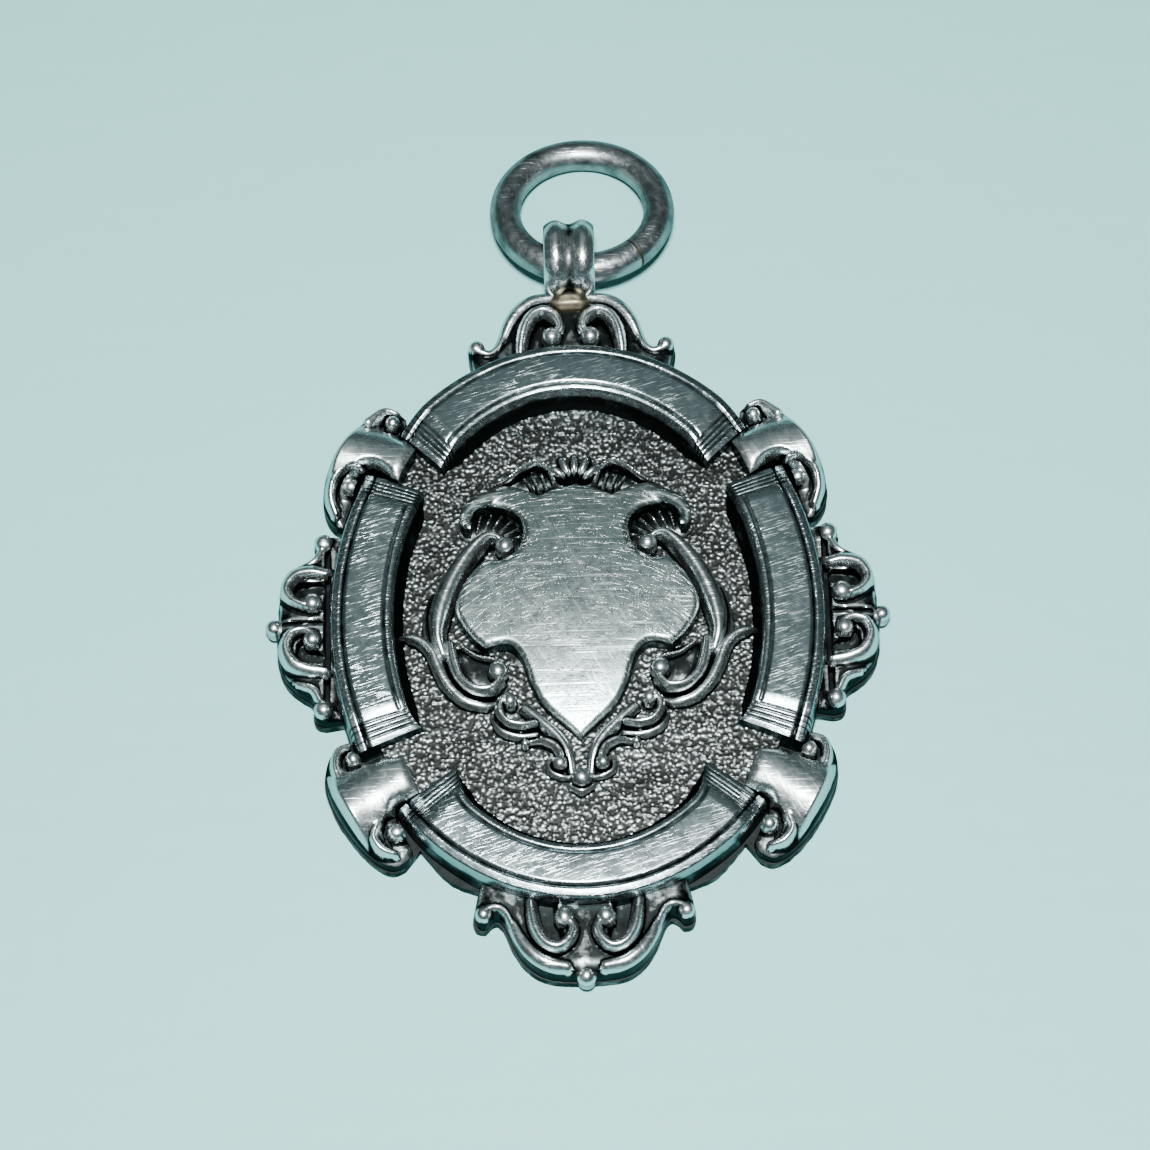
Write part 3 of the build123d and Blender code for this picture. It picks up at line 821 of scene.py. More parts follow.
furls = {
    "top": {
        "runs": [
            [(7.65, 6.5), (9.15, 7.15), (10.1, 4.75)],
            [(10.1, 4.75), (10.45, 4.85), (10.88, 5.5), (10.98, 6.5), (10.68, 7.8), (9.85, 9.2),
             (9.05, 10.08), (8.25, 10.45), (7.7, 10.3), (7.35, 9.95)],
            [(7.35, 9.95), (7.5, 9.3), (7.62, 8.9), (6.9, 8.05)],
            [(6.9, 8.05), (7.65, 6.5)],
        ],
        "centre": (8.9, 7.75), "angle": 16.0,
        "ribs": [
            [(7.75, 10.05, .2, .2, 1.7), (8.3, 10.15, .25, .3, 1.85), (9.0, 9.6, .3, .5, 2.0)],
            [(9.35, 7.3, .2, .3, 2.1), (9.95, 7.3, .3, .2, 2.15), (10.45, 6.8, .4, .2, 2.1),
             (10.6, 6.0, .35, .2, 1.9), (10.4, 5.3, .3, .2, 1.6)],
        ],
        "cuts": [
            ([(7.75, 9.1, .13, 1.25), (8.2, 9.15, .13, 1.2), (8.42, 9.55, .13, 1.25),
              (8.3, 9.95, .1, 1.3)], 4.0),
            ([(9.1, 7.25, .13, 1.2), (9.7, 7.2, .14, 1.2), (10.2, 6.75, .14, 1.2), (10.35, 6.2, .13, 1.2),
              (10.15, 5.6, .13, 1.15)], 4.0),
        ],
        "balls": [(7.93, 9.58, .33, 1.9), (9.75, 6.55, .4, 1.9)],
    },
    "bottom": {
        "runs": [
            [(7.45, -6.5), (6.8, -8.0)],
            [(6.8, -8.0), (7.78, -8.78), (7.15, -10.3)],
            [(7.15, -10.3), (7.35, -10.75), (7.95, -11.02), (8.6, -10.75), (9.4, -9.98), (10.2, -8.8),
             (10.72, -7.6), (10.8, -6.6), (10.5, -5.8), (9.8, -5.3)],
            [(9.8, -5.3), (9.45, -6.2), (7.45, -6.5)],
        ],
        "centre": (8.9, -8.0), "angle": -32.0,
        "ribs": [
            [(9.7, -5.65, .2, .2, 1.7), (10.25, -5.95, .25, .25, 1.85), (10.4, -6.6, .25, .3, 1.95),
             (10.2, -7.3, .3, .4, 1.95)],
            [(8.6, -9.3, .25, .3, 2.0), (8.75, -9.9, .25, .3, 1.95), (8.4, -10.4, .25, .3, 1.85),
             (7.85, -10.6, .2, .2, 1.7)],
        ],
        "cuts": [
            ([(9.35, -6.75, .13, 1.2), (9.8, -6.85, .13, 1.2), (10.05, -6.4, .13, 1.2),
              (9.95, -5.8, .12, 1.25)], 4.0),
            ([(7.75, -8.9, .13, 1.2), (8.15, -9.1, .14, 1.2), (8.3, -9.6, .14, 1.2),
              (8.05, -10.2, .12, 1.2)], 4.0),
        ],
        "balls": [(9.62, -6.3, .34, 1.9), (7.8, -9.65, .4, 1.95)],
    },
}


def furlBase(runs, centre, angle):
    # Barrel crown lying along the radius, rolled down at the outline
    loop = joinRuns(runs, 0.05)
    closed = np.vstack([loop, loop[:1]])
    turn = math.radians(angle)

    def base(places):
        offset = places - np.array(centre)
        cross = -offset[:, 0] * math.sin(turn) + offset[:, 1] * math.cos(turn)
        out = offset[:, 0] * math.cos(turn) + offset[:, 1] * math.sin(turn)
        crown = 2.42 - 0.30 * cross ** 2 + 0.02 * out
        share = np.clip(nearestOnLine(places, closed)[0] / 0.45, 0, 1)
        outward = np.clip((out + 1.2) / 0.6, 0, 1)
        roll = 1 - (0.75 * outward + 0.12) * (1 - share) ** 2.2
        return 1.0 + (np.maximum(crown, 1.25) - 1.0) * roll
    return base


for side, sideWord in ((1, "right"), (-1, "left")):
    for level, shape in furls.items():
        runs = mirrorRuns(shape["runs"], side)
        centre = (side * shape["centre"][0], shape["centre"][1])
        base = furlBase(runs, centre, side * shape["angle"])
        if side < 0:
            base = furlBase(runs, centre, 180 - shape["angle"])
        strokes = oneSide(side, shape["ribs"], shape["cuts"], shape["balls"], 1.0)
        height = makeHeight(base, strokes, 0.02, 31 + side)
        name = "furl_" + level + "_" + sideWord
        mesh = reliefMesh(name, runs, height, backLevel)
        finishPiece(name + "_fold", mesh, "reliefSilver", "medal", "polished_silver", name)
print("furls made")


def domeMesh(name, x, y, radius, top, floor):
    # Turned bead with a small neck under it
    rings, around = 14, 40
    neck = radius * 0.9
    verts, faces = [(x, y, top)], []
    for ring in range(1, rings + 1):
        fall = math.pi * 0.62 * ring / rings
        for step in range(around):
            turn = 2 * math.pi * step / around
            out = radius * math.sin(fall)
            level = top - radius + radius * math.cos(fall)
            verts.append((x + out * math.cos(turn), y + out * math.sin(turn), level))
    for step in range(around):
        turn = 2 * math.pi * step / around
        verts.append((x + neck * math.cos(turn), y + neck * math.sin(turn), floor))
    for step in range(around):
        after = (step + 1) % around
        faces.append((0, 1 + step, 1 + after))
        for ring in range(rings):
            low = 1 + ring * around
            faces.append((low + step, low + around + step, low + around + after, low + after))
    faces.append(tuple(1 + rings * around + step for step in reversed(range(around))))
    return meshFrom(name, np.array(verts), faces)


beads = {
    "bead_bottom": (0, -16.0, 0.42, 1.5, 0.45),
    "bead_right": (13.07, 0.05, 0.36, 1.45, 0.5),
    "bead_left": (-13.07, 0.05, 0.36, 1.45, 0.5),
}
for name, size in beads.items():
    finishPiece(name + "_ball", domeMesh(name, *size), "reliefSilver", "medal", "relief_silver", name)


shieldHalf = [
    [(0, 6.2), (0.8, 6.03), (1.3, 5.8), (1.58, 5.66)],
    [(1.58, 5.66), (2.2, 6.0), (3.1, 6.22), (3.95, 5.95), (4.7, 5.3), (5.02, 4.6), (4.85, 4.05),
     (4.55, 3.95)],
    [(4.55, 3.95), (4.45, 4.35), (4.4, 4.8), (3.9, 5.12), (3.0, 5.0), (2.4, 4.45), (2.28, 3.65),
     (2.65, 2.9), (3.3, 2.58), (3.95, 2.65)],
    [(3.95, 2.65), (4.6, 1.95), (5.1, 1.05), (5.25, 0.3), (5.0, -0.35), (4.5, -1.05), (4.0, -1.5)],
    [(4.0, -1.5), (3.05, -1.38), (2.55, -1.8), (2.3, -2.4), (2.1, -3.1), (1.75, -3.85)],
    [(1.75, -3.85), (1.3, -4.4), (0.6, -5.05), (0, -5.6)],
]
shieldRuns = [run[::-1] for run in reversed(shieldHalf)] + mirrorRuns(shieldHalf, -1)

pillow = {
    "crownY": 2.0, "top": 2.38, "fallX": 0.008, "fallNorth": 0.012, "fallSouth": 0.010, "tipFall": 0.0008,
    "edge": 0.32, "edgeDrop": 0.22,
}


def shieldBase():
    # Pillowed plate, falling away towards its tip and rolled down all round
    loop = joinRuns(shieldRuns, 0.05)
    closed = np.vstack([loop, loop[:1]])

    def base(places):
        share = np.clip(nearestOnLine(places, closed)[0] / pillow["edge"], 0, 1)
        up = places[:, 1] - pillow["crownY"]
        fall = np.where(up > 0, pillow["fallNorth"], pillow["fallSouth"]) * up ** 2
        fall = fall + pillow["tipFall"] * np.maximum(-up, 0) ** 3
        dome = pillow["top"] - pillow["fallX"] * places[:, 0] ** 2 - fall
        return dome - pillow["edgeDrop"] * (1 - share) ** 2.5
    return base


earRims = bothSides(
    ribs=[
        [(2.9, 5.75, .1, .2, 2.1), (3.7, 5.6, .3, .3, 2.3), (4.4, 5.2, .34, .34, 2.4),
         (4.8, 4.65, .3, .32, 2.42), (4.78, 4.2, .28, .28, 2.4)],
        [(2.25, 4.3, .12, .25, 2.1), (2.2, 3.6, .14, .28, 2.2), (2.5, 2.95, .14, .28, 2.2),
         (3.1, 2.6, .12, .28, 2.15)],
    ],
    balls=[(4.6, 4.1, .26, 2.46)], foot=2.0,
)
shieldHeight = makeHeight(shieldBase(), earRims, 0.012, 41)
shieldMesh = reliefMesh("shield", shieldRuns, shieldHeight, groundLevel - 0.1, 0.08)
finishPiece("shield_plate_face", shieldMesh, "shieldSilver", "medal", "polished_silver", "shield_plate")

scrollWork = {
    "arm": {
        "box": ((2.0, -2.2), (6.9, 5.3)),
        "ribs": [
            [(3.15, 3.5, .3, .3, 2.15), (3.5, 3.72, .32, .3, 2.3), (3.95, 3.65, .36, .36, 2.4),
             (4.6, 2.98, .48, .46, 2.38), (5.2, 2.05, .55, .5, 2.33), (5.65, 1.05, .58, .52, 2.28),
             (5.92, 0.1, .56, .5, 2.22), (6.0, -.8, .42, .4, 2.1), (5.8, -1.6, .35, .35, 1.9)],
            [(6.25, 1.2, .2, .25, 1.5), (6.45, 0, .25, .25, 1.55), (6.45, -.9, .25, .25, 1.55),
             (6.2, -1.6, .2, .2, 1.5)],
            [(4.5, 4.35, .6, .5, 1.5), (3.8, 4.5, .75, .8, 1.5), (3.1, 4.2, .8, .8, 1.5),
             (2.8, 3.6, .7, .7, 1.5)],
            [(4.3, 4.15, .07, .07, 1.55), (4.1, 4.95, .08, .08, 1.68)],
            [(4.0, 4.15, .07, .07, 1.55), (3.65, 4.95, .08, .08, 1.68)],
            [(3.7, 4.15, .07, .07, 1.55), (3.2, 4.9, .08, .08, 1.68)],
            [(3.4, 4.1, .07, .07, 1.55), (2.8, 4.65, .08, .08, 1.66)],
            [(3.1, 4.0, .07, .07, 1.55), (2.5, 4.3, .08, .08, 1.66)],
            [(2.9, 3.85, .07, .07, 1.55), (2.35, 3.9, .08, .08, 1.66)],
        ],
        "balls": [(3.08, 3.3, .42, 2.35)],
    },
    "lower_scroll": {
        "box": ((2.8, -4.6), (8.0, -.2)),
        "ribs": [
            [(5.5, -1.2, .3, .3, 2.0), (5.38, -2.0, .3, .32, 2.1), (5.1, -2.75, .3, .28, 2.15),
             (4.5, -3.28, .34, .24, 2.2), (3.85, -3.35, .34, .22, 2.2), (3.42, -3.0, .3, .2, 2.15)],
            [(7.6, -.72, .12, .12, 1.6), (7.2, -.78, .26, .24, 1.85), (6.7, -1.0, .32, .3, 1.9),
             (6.25, -1.5, .36, .34, 1.9), (5.95, -2.3, .36, .36, 1.85), (5.55, -3.05, .36, .34, 1.8),
             (4.9, -3.7, .34, .3, 1.75), (4.1, -3.95, .3, .26, 1.65), (3.6, -3.85, .2, .2, 1.5)],
            [(4.9, -1.6, .5, .5, 1.4), (4.2, -2.2, .9, .9, 1.4), (3.7, -2.6, .7, .7, 1.4)],
            [(4.95, -1.3, .12, .12, 1.75), (4.3, -1.75, .14, .14, 1.8), (3.6, -1.95, .16, .16, 1.85),
             (3.2, -2.3, .14, .14, 1.8)],
        ],
        "balls": [(3.45, -2.55, .44, 2.3)],
    },
    "small_scroll": {
        "box": ((0.2, -7.6), (4.2, -3.2)),
        "ribs": [
            [(3.0, -3.65, .2, .2, 2.1), (3.32, -3.9, .22, .2, 2.15), (3.4, -4.4, .26, .2, 2.15),
             (3.05, -4.88, .28, .2, 2.15), (2.5, -5.02, .28, .2, 2.1), (1.95, -4.92, .24, .2, 2.0)],
            [(3.65, -4.5, .2, .2, 1.55), (3.35, -5.1, .25, .25, 1.65), (2.6, -5.4, .25, .25, 1.65),
             (1.9, -5.35, .2, .2, 1.6)],
            [(2.38, -5.82, .15, .15, 1.85), (2.05, -5.74, .14, .14, 1.75), (1.55, -5.72, .2, .18, 1.95),
             (1.08, -5.98, .22, .2, 2.0), (.86, -6.4, .22, .2, 2.0), (.88, -6.75, .2, .2, 1.95)],
            [(2.3, -4.2, .3, .3, 1.8), (1.55, -4.9, .34, .34, 1.85), (.9, -5.6, .34, .34, 1.85),
             (.55, -6.3, .3, .3, 1.8), (.42, -7.1, .24, .24, 1.6)],
            [(1.35, -6.6, .16, .16, 1.5), (1.3, -7.0, .2, .2, 1.6), (.9, -7.25, .2, .2, 1.6),
             (.5, -7.3, .15, .15, 1.5)],
        ],
        "balls": [(2.95, -3.92, .32, 2.2), (.9, -6.78, .3, 2.1), (2.35, -5.82, .18, 1.9)],
    },
}


def flatBase(level):
    def base(places):
        return np.full(len(places), level)
    return base


scrollFoot = groundLevel - 0.12
for side, sideWord in ((1, "right"), (-1, "left")):
    for kind, shape in scrollWork.items():
        (lowX, lowY), (highX, highY) = shape["box"]
        low = (min(side * lowX, side * highX), lowY)
        high = (max(side * lowX, side * highX), highY)
        strokes = oneSide(side, shape["ribs"], (), shape["balls"], scrollFoot)
        height = makeHeight(flatBase(scrollFoot), strokes, 0.0, 1)
        name = kind + "_" + sideWord
        mesh = scrollMesh(name, height, low, high, scrollFoot, groundLevel - 0.2)
        finishPiece(name + "_relief", mesh, "reliefSilver", "medal", "relief_silver", name)

beadHeight = makeHeight(flatBase(scrollFoot), [
    ridge([(-.45, -7.75, .15, .15, 1.6), (0, -7.98, .18, .18, 1.7), (.45, -7.75, .15, .15, 1.6)],
          scrollFoot),
    ball(0, -7.42, .42, 2.1),
], 0.0)
beadMesh = scrollMesh("cartoucheBead", beadHeight, (-.8, -8.4), (.8, -6.8), scrollFoot, groundLevel - 0.2)
finishPiece("cartouche_bead_relief", beadMesh, "reliefSilver", "medal", "relief_silver", "cartouche_bead")
print("cartouche made")


def newGeometryTree(name, inputs):
    tree = bpy.data.node_groups.new(name, "GeometryNodeTree")
    tree.interface.new_socket("Geometry", in_out="INPUT", socket_type="NodeSocketGeometry")
    for label, value in inputs.items():
        kind = "Int" if isinstance(value, int) else "Float"
        socket = tree.interface.new_socket(label, in_out="INPUT", socket_type="NodeSocket" + kind)
        socket.default_value = value
    tree.interface.new_socket("Finish", in_out="INPUT", socket_type="NodeSocketMaterial")
    tree.interface.new_socket("Geometry", in_out="OUTPUT", socket_type="NodeSocketGeometry")
    return tree, tree.nodes.new("NodeGroupInput"), tree.nodes.new("NodeGroupOutput")


def endTree(tree, source, result, geometry):
    # Every tree ends the same way: real geometry with its finish on it
    smooth = addNode(tree, "GeometryNodeSetShadeSmooth")
    realize = addNode(tree, "GeometryNodeRealizeInstances")
    finish = addNode(tree, "GeometryNodeSetMaterial")
    tree.links.new(geometry, smooth.inputs["Geometry"])
    tree.links.new(smooth.outputs["Geometry"], realize.inputs["Geometry"])
    tree.links.new(realize.outputs["Geometry"], finish.inputs["Geometry"])
    tree.links.new(source.outputs["Finish"], finish.inputs["Material"])
    tree.links.new(finish.outputs["Geometry"], result.inputs["Geometry"])


def growMesh(name, mesh, tree, values, finish):
    # Runs a tree on a mesh and keeps the result as a plain mesh
    holder = bpy.data.objects.new(name + "Holder", mesh)
    bpy.context.scene.collection.objects.link(holder)
    modifier = holder.modifiers.new("grow", "NODES")
    modifier.node_group = tree
    for item in tree.interface.items_tree:
        if item.item_type != "SOCKET" or item.in_out != "INPUT":
            continue
        if item.name == "Finish":
            modifier[item.identifier] = materials[finish]
        elif item.name in values:
            modifier[item.identifier] = values[item.name]
    evaluated = holder.evaluated_get(bpy.context.evaluated_depsgraph_get())
    plain = bpy.data.meshes.new_from_object(evaluated)
    plain.name = name
    bpy.data.objects.remove(holder)
    return plain


ground = {"semiX": 9.6, "semiY": 12.1, "spacing": 0.057, "Grain Size": 0.165, "Grain Height": 0.047,
          "Patch Size": 1.6}


def makeStippleTree():
    # Pebbled grain pressed into every upward face of the oval
    tree, source, result = newGeometryTree("stipple",
                                           {"Grain Size": 0.2, "Grain Height": 0.08, "Patch Size": 1.5})
    links = tree.links
    place = addNode(tree, "GeometryNodeInputPosition")
    warp = addNode(tree, "ShaderNodeTexNoise", {"Scale": 2.2, "Detail": 2.0})
    links.new(place.outputs["Position"], warp.inputs["Vector"])
    shift = addNode(tree, "ShaderNodeVectorMath", operation="SCALE")
    links.new(warp.outputs["Color"], shift.inputs[0])
    shift.inputs["Scale"].default_value = 0.35
    moved = addNode(tree, "ShaderNodeVectorMath", operation="ADD")
    links.new(place.outputs["Position"], moved.inputs[0])
    links.new(shift.outputs["Vector"], moved.inputs[1])
    cells = addNode(tree, "ShaderNodeTexVoronoi", {"Randomness": 1.0, "Smoothness": 0.35},
                    feature="SMOOTH_F1")
    links.new(moved.outputs["Vector"], cells.inputs["Vector"])
    links.new(addMath(tree, "DIVIDE", 1.0, source.outputs["Grain Size"]), cells.inputs["Scale"])
    grain = addRange(tree, cells.outputs["Distance"], 0.1, 0.6, 1.0, 0.0)
    patch = addNode(tree, "ShaderNodeTexNoise", {"Detail": 1.0})
    links.new(place.outputs["Position"], patch.inputs["Vector"])
    links.new(addMath(tree, "DIVIDE", 1.0, source.outputs["Patch Size"]), patch.inputs["Scale"])
    strength = addRange(tree, patch.outputs["Fac"], 0.3, 0.6, 0.7, 1.0)
    raised = addMath(tree, "MULTIPLY", grain, strength)
    lift = addMath(tree, "MULTIPLY", raised, source.outputs["Grain Height"])
    offset = addNode(tree, "ShaderNodeCombineXYZ")
    links.new(lift, offset.inputs["Z"])
    normal = addNode(tree, "GeometryNodeInputNormal")
    parts = addNode(tree, "ShaderNodeSeparateXYZ")
    links.new(normal.outputs["Normal"], parts.inputs["Vector"])
    upward = addNode(tree, "FunctionNodeCompare", operation="GREATER_THAN", data_type="FLOAT")
    links.new(parts.outputs["Z"], upward.inputs[0])
    upward.inputs[1].default_value = 0.5
    push = addNode(tree, "GeometryNodeSetPosition")
    links.new(source.outputs["Geometry"], push.inputs["Geometry"])
    links.new(upward.outputs["Result"], push.inputs["Selection"])
    links.new(offset.outputs["Vector"], push.inputs["Offset"])
    store = addNode(tree, "GeometryNodeStoreNamedAttribute", {"Name": "oxideAndShade"}, data_type="FLOAT",
                    domain="POINT")
    links.new(push.outputs["Geometry"], store.inputs["Geometry"])
    links.new(addRange(tree, raised, 0.05, 0.5, 0.85, 0.0), store.inputs["Value"])
    endTree(tree, source, result, store.outputs["Geometry"])
    return tree


def hiddenGround(places):
    # Under the banners and the shield, where a coarse mesh is enough
    x, y = np.abs(places[:, 0]), places[:, 1]
    outside = (x / 8.0) ** 2 + (y / 10.4) ** 2 > 1
    underShield = (x / 3.5) ** 2 + ((y - 0.6) / 4.0) ** 2 < 1
    return underShield | outside & ((x < 5.4) | ((y > -4.9) & (y < 5.9)))


ovalTurns = np.linspace(0, 2 * math.pi, 97)
semiX, semiY = ground["semiX"], ground["semiY"]
groundRuns = [[(semiX * math.cos(turn), semiY * math.sin(turn)) for turn in ovalTurns]]
groundHeight = makeHeight(flatBase(groundLevel - 0.05), (), 0.02, 5)
plainGround = reliefMesh("groundOval", groundRuns, groundHeight, 0.6, ground["spacing"],
                         coarse=hiddenGround)
groundMesh = growMesh("ground", plainGround, makeStippleTree(), ground, "groundSilver")
finishPiece("front_plate_ground", groundMesh, "groundSilver", "medal", "oxidised_silver", "front_plate")
print("ground made")


shell = {
    "Lobe Count": 5, "Fan Radius": 1.0, "Spread": 100.0, "Lobe Length": 0.68, "Lobe Width": 0.26,
    "Lobe Height": 0.7, "Centre Y": 6.15, "Centre Z": 1.5,
}


def makeShellTree():
    # Lobes fanned out from a centre, joined to the leaves that come in
    tree, source, result = newGeometryTree("shellFan", {
        "Lobe Count": 7, "Fan Radius": 1.0, "Spread": 150.0, "Lobe Length": 0.6, "Lobe Width": 0.2,
        "Lobe Height": 0.5, "Centre Y": 6.0, "Centre Z": 1.5,
    })
    links = tree.links
    points = addNode(tree, "GeometryNodeMeshLine")
    links.new(source.outputs["Lobe Count"], points.inputs["Count"])
    index = addNode(tree, "GeometryNodeInputIndex")
    last = addMath(tree, "SUBTRACT", source.outputs["Lobe Count"], 1.0)
    share = addMath(tree, "SUBTRACT", addMath(tree, "DIVIDE", index.outputs["Index"], last), 0.5)
    spread = addMath(tree, "RADIANS", source.outputs["Spread"])
    turn = addMath(tree, "MULTIPLY", share, spread)
    place = addNode(tree, "ShaderNodeCombineXYZ")
    across = addMath(tree, "MULTIPLY", addMath(tree, "SINE", turn), source.outputs["Fan Radius"])
    up = addMath(tree, "MULTIPLY", addMath(tree, "COSINE", turn), source.outputs["Fan Radius"])
    links.new(across, place.inputs["X"])
    links.new(addMath(tree, "ADD", up, source.outputs["Centre Y"]), place.inputs["Y"])
    links.new(source.outputs["Centre Z"], place.inputs["Z"])
    put = addNode(tree, "GeometryNodeSetPosition")
    links.new(points.outputs["Mesh"], put.inputs["Geometry"])
    links.new(place.outputs["Vector"], put.inputs["Position"])
    lobe = addNode(tree, "GeometryNodeMeshUVSphere", {"Segments": 24, "Rings": 16, "Radius": 1.0})
    place = addNode(tree, "GeometryNodeInputPosition")
    parts = addNode(tree, "ShaderNodeSeparateXYZ")
    links.new(place.outputs["Position"], parts.inputs["Vector"])
    store = addNode(tree, "GeometryNodeStoreNamedAttribute", {"Name": "oxideAndShade"}, data_type="FLOAT",
                    domain="POINT")
    links.new(lobe.outputs["Mesh"], store.inputs["Geometry"])
    links.new(addRange(tree, parts.outputs["Z"], 0.6, 0.9, 0.6, -0.15), store.inputs["Value"])
    size = addNode(tree, "ShaderNodeCombineXYZ")
    links.new(source.outputs["Lobe Width"], size.inputs["X"])
    links.new(source.outputs["Lobe Length"], size.inputs["Y"])
    links.new(source.outputs["Lobe Height"], size.inputs["Z"])
    facing = addNode(tree, "ShaderNodeCombineXYZ")
    links.new(addMath(tree, "MULTIPLY", turn, -1.0), facing.inputs["Z"])
    copies = addNode(tree, "GeometryNodeInstanceOnPoints")
    links.new(put.outputs["Geometry"], copies.inputs["Points"])
    links.new(store.outputs["Geometry"], copies.inputs["Instance"])
    links.new(facing.outputs["Vector"], copies.inputs["Rotation"])
    links.new(size.outputs["Vector"], copies.inputs["Scale"])
    join = addNode(tree, "GeometryNodeJoinGeometry")
    links.new(source.outputs["Geometry"], join.inputs["Geometry"])
    links.new(copies.outputs["Instances"], join.inputs["Geometry"])
    endTree(tree, source, result, join.outputs["Geometry"])
    return tree


leafStrokes = bothSides(ribs=[
    [(0.35, 6.3, .3, .3, 1.5), (1.2, 6.75, .5, .6, 1.5), (2.2, 6.5, .5, .6, 1.5),
     (3.1, 6.2, .2, .4, 1.4)],
    [(0.85, 6.35, .13, .13, 2.0), (1.15, 7.05, .15, .15, 2.05), (1.7, 7.38, .16, .16, 2.05),
     (2.3, 7.12, .15, .15, 1.95), (3.0, 6.6, .14, .14, 1.8), (3.7, 6.35, .1, .1, 1.55)],
    [(1.2, 6.1, .1, .1, 1.75), (1.45, 6.9, .1, .1, 1.7)],
    [(1.5, 6.0, .1, .1, 1.75), (1.85, 6.8, .1, .1, 1.7)],
    [(1.8, 6.1, .1, .1, 1.75), (2.2, 6.65, .1, .1, 1.7)],
], foot=scrollFoot)
leafHeight = makeHeight(flatBase(scrollFoot), leafStrokes, 0.0)
leaves = scrollMesh("crestLeaves", leafHeight, (-3.9, 5.4), (3.9, 7.7), scrollFoot, groundLevel - 0.2)
crestMesh = growMesh("crest", leaves, makeShellTree(), shell, "reliefSilver")
finishPiece("shell_crest_fan", crestMesh, "reliefSilver", "medal", "relief_silver", "shell_crest")


bailLow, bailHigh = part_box("bail_loop")
bailCentre = [(low + high) / 2 / millimetre for low, high in zip(bailLow, bailHigh)]
ring = {
    "Ring Radius": 3.47, "Wire Radius": 0.69, "Tilt": 12.2, "Offset X": 0.64, "Hang": 0.6, "Dents": 0.012,
    "seamAngle": -50.0, "seamSpan": 1.6, "seamSunk": 0.008, "Highlight From": 0.86,
}


def makeRingTree():
    # Bent wire: an arc, its round section, slight hammer dents, then its place in the bail; the wire is
    # painted a little darker, with a painted highlight on its last stretch
    tree, source, result = newGeometryTree("bentRing", {
        "Ring Radius": 3.4, "Wire Radius": 0.68, "Start": 0.0, "Span": 6.0, "Tilt": 12.0, "Dents": 0.01,
        "Segments": 240, "Centre X": 0.0, "Centre Y": 0.0, "Centre Z": 0.0, "Highlight From": 0.82,
    })
    links = tree.links
    arc = addNode(tree, "GeometryNodeCurveArc")
    links.new(source.outputs["Segments"], arc.inputs["Resolution"])
    links.new(source.outputs["Ring Radius"], arc.inputs["Radius"])
    links.new(source.outputs["Start"], arc.inputs["Start Angle"])
    links.new(source.outputs["Span"], arc.inputs["Sweep Angle"])
    along = addNode(tree, "GeometryNodeSplineParameter")
    # Painted highlight: the last stretch of the arc is painted lighter, the rest a little darker
    dark = addNode(tree, "ShaderNodeMapRange", {"To Min": 0.22, "To Max": -0.2},
                   interpolation_type="SMOOTHSTEP")
    links.new(along.outputs["Factor"], dark.inputs["Value"])
    links.new(source.outputs["Highlight From"], dark.inputs["From Min"])
    links.new(addMath(tree, "ADD", source.outputs["Highlight From"], 0.05), dark.inputs["From Max"])
    store = addNode(tree, "GeometryNodeStoreNamedAttribute", {"Name": "oxideAndShade"}, data_type="FLOAT",
                    domain="POINT")
    links.new(arc.outputs["Curve"], store.inputs["Geometry"])
    links.new(dark.outputs["Result"], store.inputs["Value"])
    section = addNode(tree, "GeometryNodeCurvePrimitiveCircle", {"Resolution": 48})
    links.new(source.outputs["Wire Radius"], section.inputs["Radius"])
    wire = addNode(tree, "GeometryNodeCurveToMesh", {"Fill Caps": True})
    links.new(store.outputs["Geometry"], wire.inputs["Curve"])
    links.new(section.outputs["Curve"], wire.inputs["Profile Curve"])
    place = addNode(tree, "GeometryNodeInputPosition")
    bumps = addNode(tree, "ShaderNodeTexNoise", {"Scale": 0.9, "Detail": 2.0})
    links.new(place.outputs["Position"], bumps.inputs["Vector"])
    depth = addMath(tree, "SUBTRACT", bumps.outputs["Fac"], 0.62)
    depth = addMath(tree, "MULTIPLY", depth, source.outputs["Dents"])
    normal = addNode(tree, "GeometryNodeInputNormal")
    inward = addNode(tree, "ShaderNodeVectorMath", operation="SCALE")
    links.new(normal.outputs["Normal"], inward.inputs[0])
    links.new(depth, inward.inputs["Scale"])
    dent = addNode(tree, "GeometryNodeSetPosition")
    links.new(wire.outputs["Mesh"], dent.inputs["Geometry"])
    links.new(inward.outputs["Vector"], dent.inputs["Offset"])
    lean = addNode(tree, "ShaderNodeCombineXYZ")
    back = addMath(tree, "MULTIPLY", addMath(tree, "RADIANS", source.outputs["Tilt"]), -1.0)
    links.new(back, lean.inputs["X"])
    centre = addNode(tree, "ShaderNodeCombineXYZ")
    for axis in "XYZ":
        links.new(source.outputs["Centre " + axis], centre.inputs[axis])
    put = addNode(tree, "GeometryNodeTransform")
    links.new(dent.outputs["Geometry"], put.inputs["Geometry"])
    links.new(lean.outputs["Vector"], put.inputs["Rotation"])
    links.new(centre.outputs["Vector"], put.inputs["Translation"])
    endTree(tree, source, result, put.outputs["Geometry"])
    return tree


